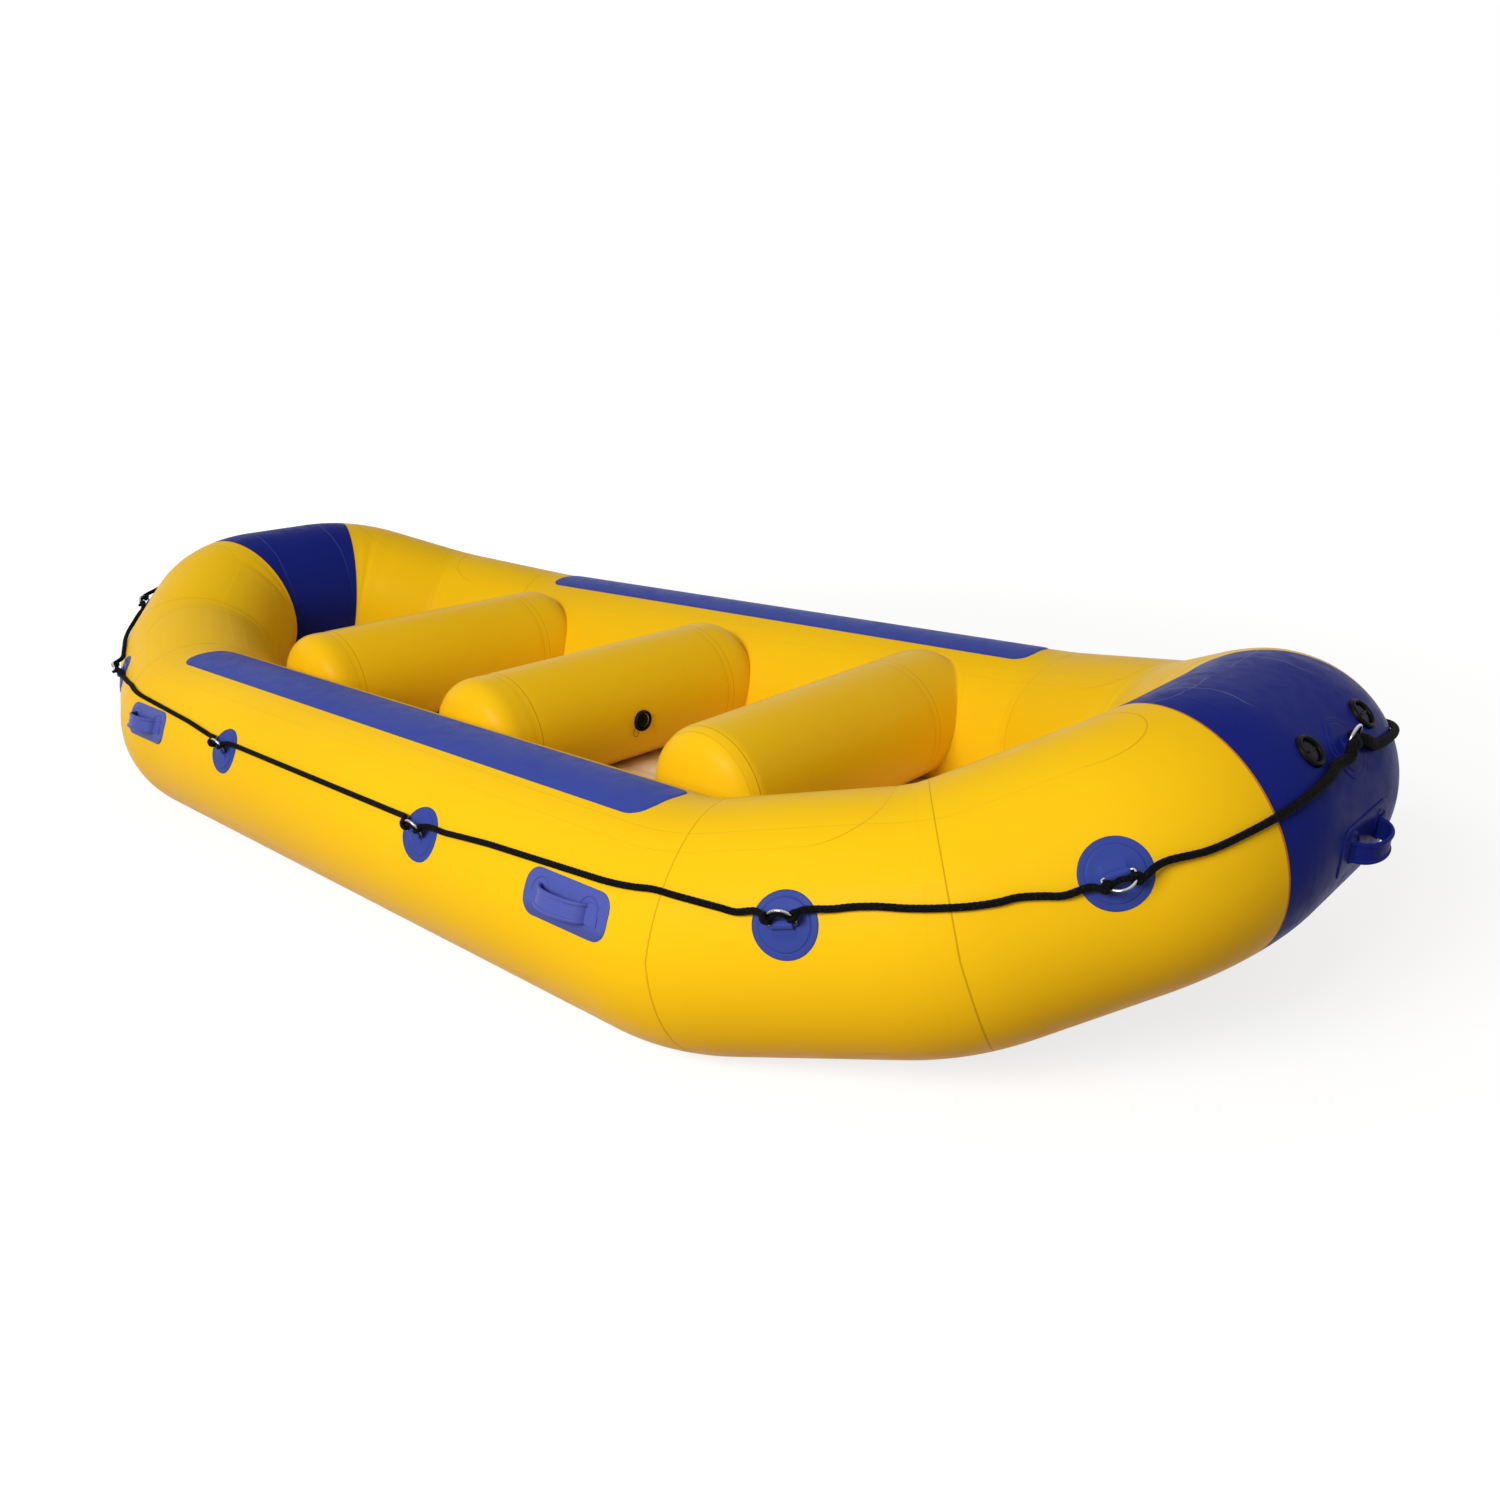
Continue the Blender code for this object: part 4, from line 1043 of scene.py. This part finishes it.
def strap(name, place, stand, paint):
    """Arched strap: a thin web between two round ribs, spread flat at its feet."""
    rib, edge, web, inner, half = 0.0044, 0.0215, 0.0013, 0.0118, 0.0725
    near_turns = np.linspace(radians(-160), radians(160), 18)
    far_turns = np.linspace(radians(20), radians(340), 18)
    outline = [(edge - rib + rib * cos(t), rib * sin(t)) for t in near_turns]
    outline += [(y, web) for y in np.linspace(inner, -inner, 8)]
    outline += [(-edge + rib + rib * cos(t), rib * sin(t)) for t in far_turns]
    outline += [(y, -web) for y in np.linspace(-inner, inner, 8)]
    spots = []
    turns = np.concatenate([[0.0], np.linspace(radians(7), radians(173), 46), [pi]])
    for t in turns:
        x = -half * cos(t)
        z = 0.0022 + stand * sin(t) ** 0.9
        slope = np.array((half * sin(t), stand * cos(t) * 0.9))
        slope = slope / np.linalg.norm(slope)
        if t in (0.0, pi):
            slope = np.array((1.0, 0.0))
            x = x * 1.16
            z = 0.0030
        up = np.array((-slope[1], slope[0]))
        flat = 0.45 if t in (0.0, pi) else 1.0
        for y, h in outline:
            spots.append((x + up[0] * h * flat, y - 0.0045 * sin(t), z + up[1] * h * flat))
    return mesh(name, move(place, spots), drum_faces(len(turns), len(outline)), paint, None, 45)


# How high the straps stand
STANDS = {"bow": 0.032, "stern": 0.038}
END_STAND = 0.040
handles = [(f"{side}_{end}", s, HANDLE_ANGLE, STANDS[end]) for side, end, s in four_corners(HANDLE_DISTANCE)]
handles += [(end, middle, END_HANDLE_ANGLE, END_STAND) for end, middle in END_MIDDLES.items()]
for label, s, angle, stand in handles:
    place = seat(s, angle)
    paint = end_patch_paint if label in END_MIDDLES else handle_paint
    base = sheet(f"handle_base_{label}", 150, 84, handle_outline, place, s, paint)
    ride(base, "patch_pvc", f"handle_{label}")
    ride(strap(f"handle_strap_{label}", place, stand, paint), "patch_pvc")
    ride(sheet(f"handle_lap_{label}", 50, 60, lap_outline, place, s, paint, 0.002), "patch_pvc")


def knurl(radius, height, angle):
    """Fine grips round the edge of a valve's cap."""
    if radius > 0.0215 and height > -0.0005:
        return -0.0005 * (0.5 + 0.5 * cos(24 * angle))
    return 0


def valve(label, place, tether):
    """Valve: rolled rim and barrel, a domed cap with a grip bar, and a thin tether loop."""
    rim = [(0.0238, -0.0012), (0.0239, 0.0022), (0.0246, 0.0056), (0.0264, 0.0078), (0.0290, 0.0082),
           (0.0313, 0.0064), (0.0326, 0.0034), (0.0330, 0.0002), (0.0328, -0.0032)]
    profile = [(0.0165, -0.0300), (0.0165, -0.0013), *smooth_profile(rim, 4)]
    profile += [(0.0225, -0.0032), (0.0225, -0.0445), (0.0165, -0.0448)]
    body = turned(f"valve_rim_{label}", profile, 64, place, rubber)
    ride(body, "black_plastic", f"valve_body_{label}")
    crown = [(0.0010, 0.0042), (0.0060, 0.0041), (0.0120, 0.0037), (0.0170, 0.0029), (0.0200, 0.0018),
             (0.0216, 0.0006), (0.0222, -0.0003), (0.0223, -0.0009)]
    shape = smooth_profile(crown, 4) + [(0.0150, -0.0010), (0.0150, -0.0128), (0.0010, -0.0130)]
    cap = turned(f"valve_lid_{label}", shape, 72, place, rubber, knurl)
    ride(cap, "black_plastic", f"valve_cap_{label}", body=f"cap_{label}")
    rows, columns = 15, 16
    bar = []
    for x in np.linspace(-0.0155, 0.0155, rows):
        edge = sqrt(max(0, 1 - (x / 0.0158) ** 4))
        for t in np.linspace(0, 2 * pi, columns, endpoint=False):
            bar.append((x, 0.0030 * edge * cos(t), 0.0040 + 0.0030 * edge * sin(t)))
    grip = mesh(f"valve_grip_{label}", move(place, bar), drum_faces(rows, columns), rubber, None, 50)
    ride(grip, "black_plastic", body=f"cap_{label}")
    if tether:
        loop = []
        for turn in np.linspace(0, 2 * pi, 40):
            loop.append((-0.0275 + 0.0105 * cos(turn), -0.0300 + 0.0150 * sin(turn),
                         0.0018 + 0.0008 * sin(turn)))
        cord = swept(f"valve_tether_{label}", move(place, loop[:-1]), 0.0008, 8, rubber)
        ride(cord, "black_plastic")


for end, middle in END_MIDDLES.items():
    sign = 1 if end == "bow" else -1
    valve(f"{end}_starboard", seat(middle - sign * VALVE_FROM_END, VALVE_ANGLE), False)
    valve(f"{end}_port", seat(middle + sign * VALVE_FROM_END, VALVE_ANGLE), False)
for label, (x, facing) in THWARTS.items():
    out = Vector((facing * cos(radians(-5)), 0, sin(radians(-5))))
    along = Vector((0, 1, 0))
    turn = Matrix((along, out.cross(along), out)).transposed().to_4x4()
    spot = Vector((x, THWART_VALVE_Y, THWART_Z)) + out * THWART_RADIUS
    valve(f"thwart_{label}", Matrix.Translation(spot) @ turn, True)
valve("floor", Matrix.Translation(((THWARTS["rear"][0] + THWARTS["middle"][0]) / 2, -0.3, FLOOR_TOP)), False)


def studio_floor():
    """Pale floor: it glows for rays that see it, whiter far off, and is dull and warm to the rest."""
    paint = Paint("studio_floor")
    spread = paint.node("VectorMath", {0: paint.where()}, operation="LENGTH").outputs["Value"]
    glow = paint.node("Emission", {0: (1.0, 1.0, 1.0), 1: paint.fit(spread, 2.2, 7.0, 0.78, 1.0)})
    shaded = paint.node("BsdfDiffuse", {"Color": (0.34, 0.34, 0.34)})
    bounced = paint.node("BsdfDiffuse", {"Color": (0.42, 0.31, 0.22)})
    both = paint.node("AddShader", {0: glow.outputs[0], 1: shaded.outputs[0]})
    blend = paint.node("MixShader", {0: paint.seen(), 1: bounced.outputs[0], 2: both.outputs[0]})
    paint.tree.nodes.remove(paint.shader)
    paint.put(blend.outputs[0], paint.tree.nodes["Material Output"].inputs["Surface"])
    half, below = 60, -0.0005
    corners = [(-half, -half, below), (half, -half, below), (half, half, below), (-half, half, below)]
    mesh("ground", corners, [(0, 1, 2, 3)], paint.material)


def studio_world():
    """Soft light from all round, and plain white for rays that see the background."""
    world = bpy.data.worlds.new("studio")
    bpy.context.scene.world = world
    world.use_nodes = True
    nodes = Nodes(world.node_tree)
    soft = nodes.tree.nodes["Background"]
    nodes.put((1.0, 0.99, 0.97), soft.inputs["Color"])
    nodes.put(0.33, soft.inputs["Strength"])
    white = nodes.node("Background", {"Color": (1.0, 1.0, 1.0), "Strength": 1.0})
    blend = nodes.node("MixShader", {0: nodes.seen(), 1: soft.outputs[0], 2: white.outputs[0]})
    nodes.put(blend.outputs[0], nodes.tree.nodes["World Output"].inputs["Surface"])


def key_lamp():
    """One broad lamp, high off the starboard side."""
    data = bpy.data.lights.new("key", "AREA")
    data.shape = "RECTANGLE"
    data.size, data.size_y = 4.4, 2.8
    data.energy = 625
    data.color = (1.0, 0.99, 0.97)
    spot, aim = Vector((1.55, -7.50, 5.07)), Vector((0.1, 0, 0.3))
    made = bpy.data.objects.new("key", data)
    made.location = spot
    made.rotation_euler = (aim - spot).to_track_quat("-Z", "Y").to_euler()
    bpy.context.scene.collection.objects.link(made)


# The camera's angles in radians, its place in metres and its focal length in the photograph's pixels
YAW, PITCH, ROLL = 0.7617, 0.3284, -0.0425
CAMERA_SPOT = (2.7873, -2.2864, 1.4042)
FOCAL_PIXELS = 1214.995
PHOTO_PIXELS = 1500


def photo_camera():
    forward = Vector((-sin(YAW) * cos(PITCH), cos(YAW) * cos(PITCH), -sin(PITCH)))
    right = Vector((cos(YAW), sin(YAW), 0))
    upward = right.cross(forward)
    rolled_right = right * cos(ROLL) + upward * sin(ROLL)
    rolled_up = -right * sin(ROLL) + upward * cos(ROLL)
    lens = bpy.data.cameras.new("camera")
    lens.sensor_width = 36
    lens.sensor_fit = "HORIZONTAL"
    lens.lens = lens.sensor_width * FOCAL_PIXELS / PHOTO_PIXELS
    lens.clip_end = 200
    camera = bpy.data.objects.new("camera", lens)
    turn = Matrix((rolled_right, rolled_up, -forward)).transposed().to_4x4()
    camera.matrix_world = Matrix.Translation(CAMERA_SPOT) @ turn
    bpy.context.scene.collection.objects.link(camera)
    bpy.context.scene.camera = camera


studio_floor()
studio_world()
key_lamp()
photo_camera()
bpy.context.scene.view_settings.view_transform = "Standard"
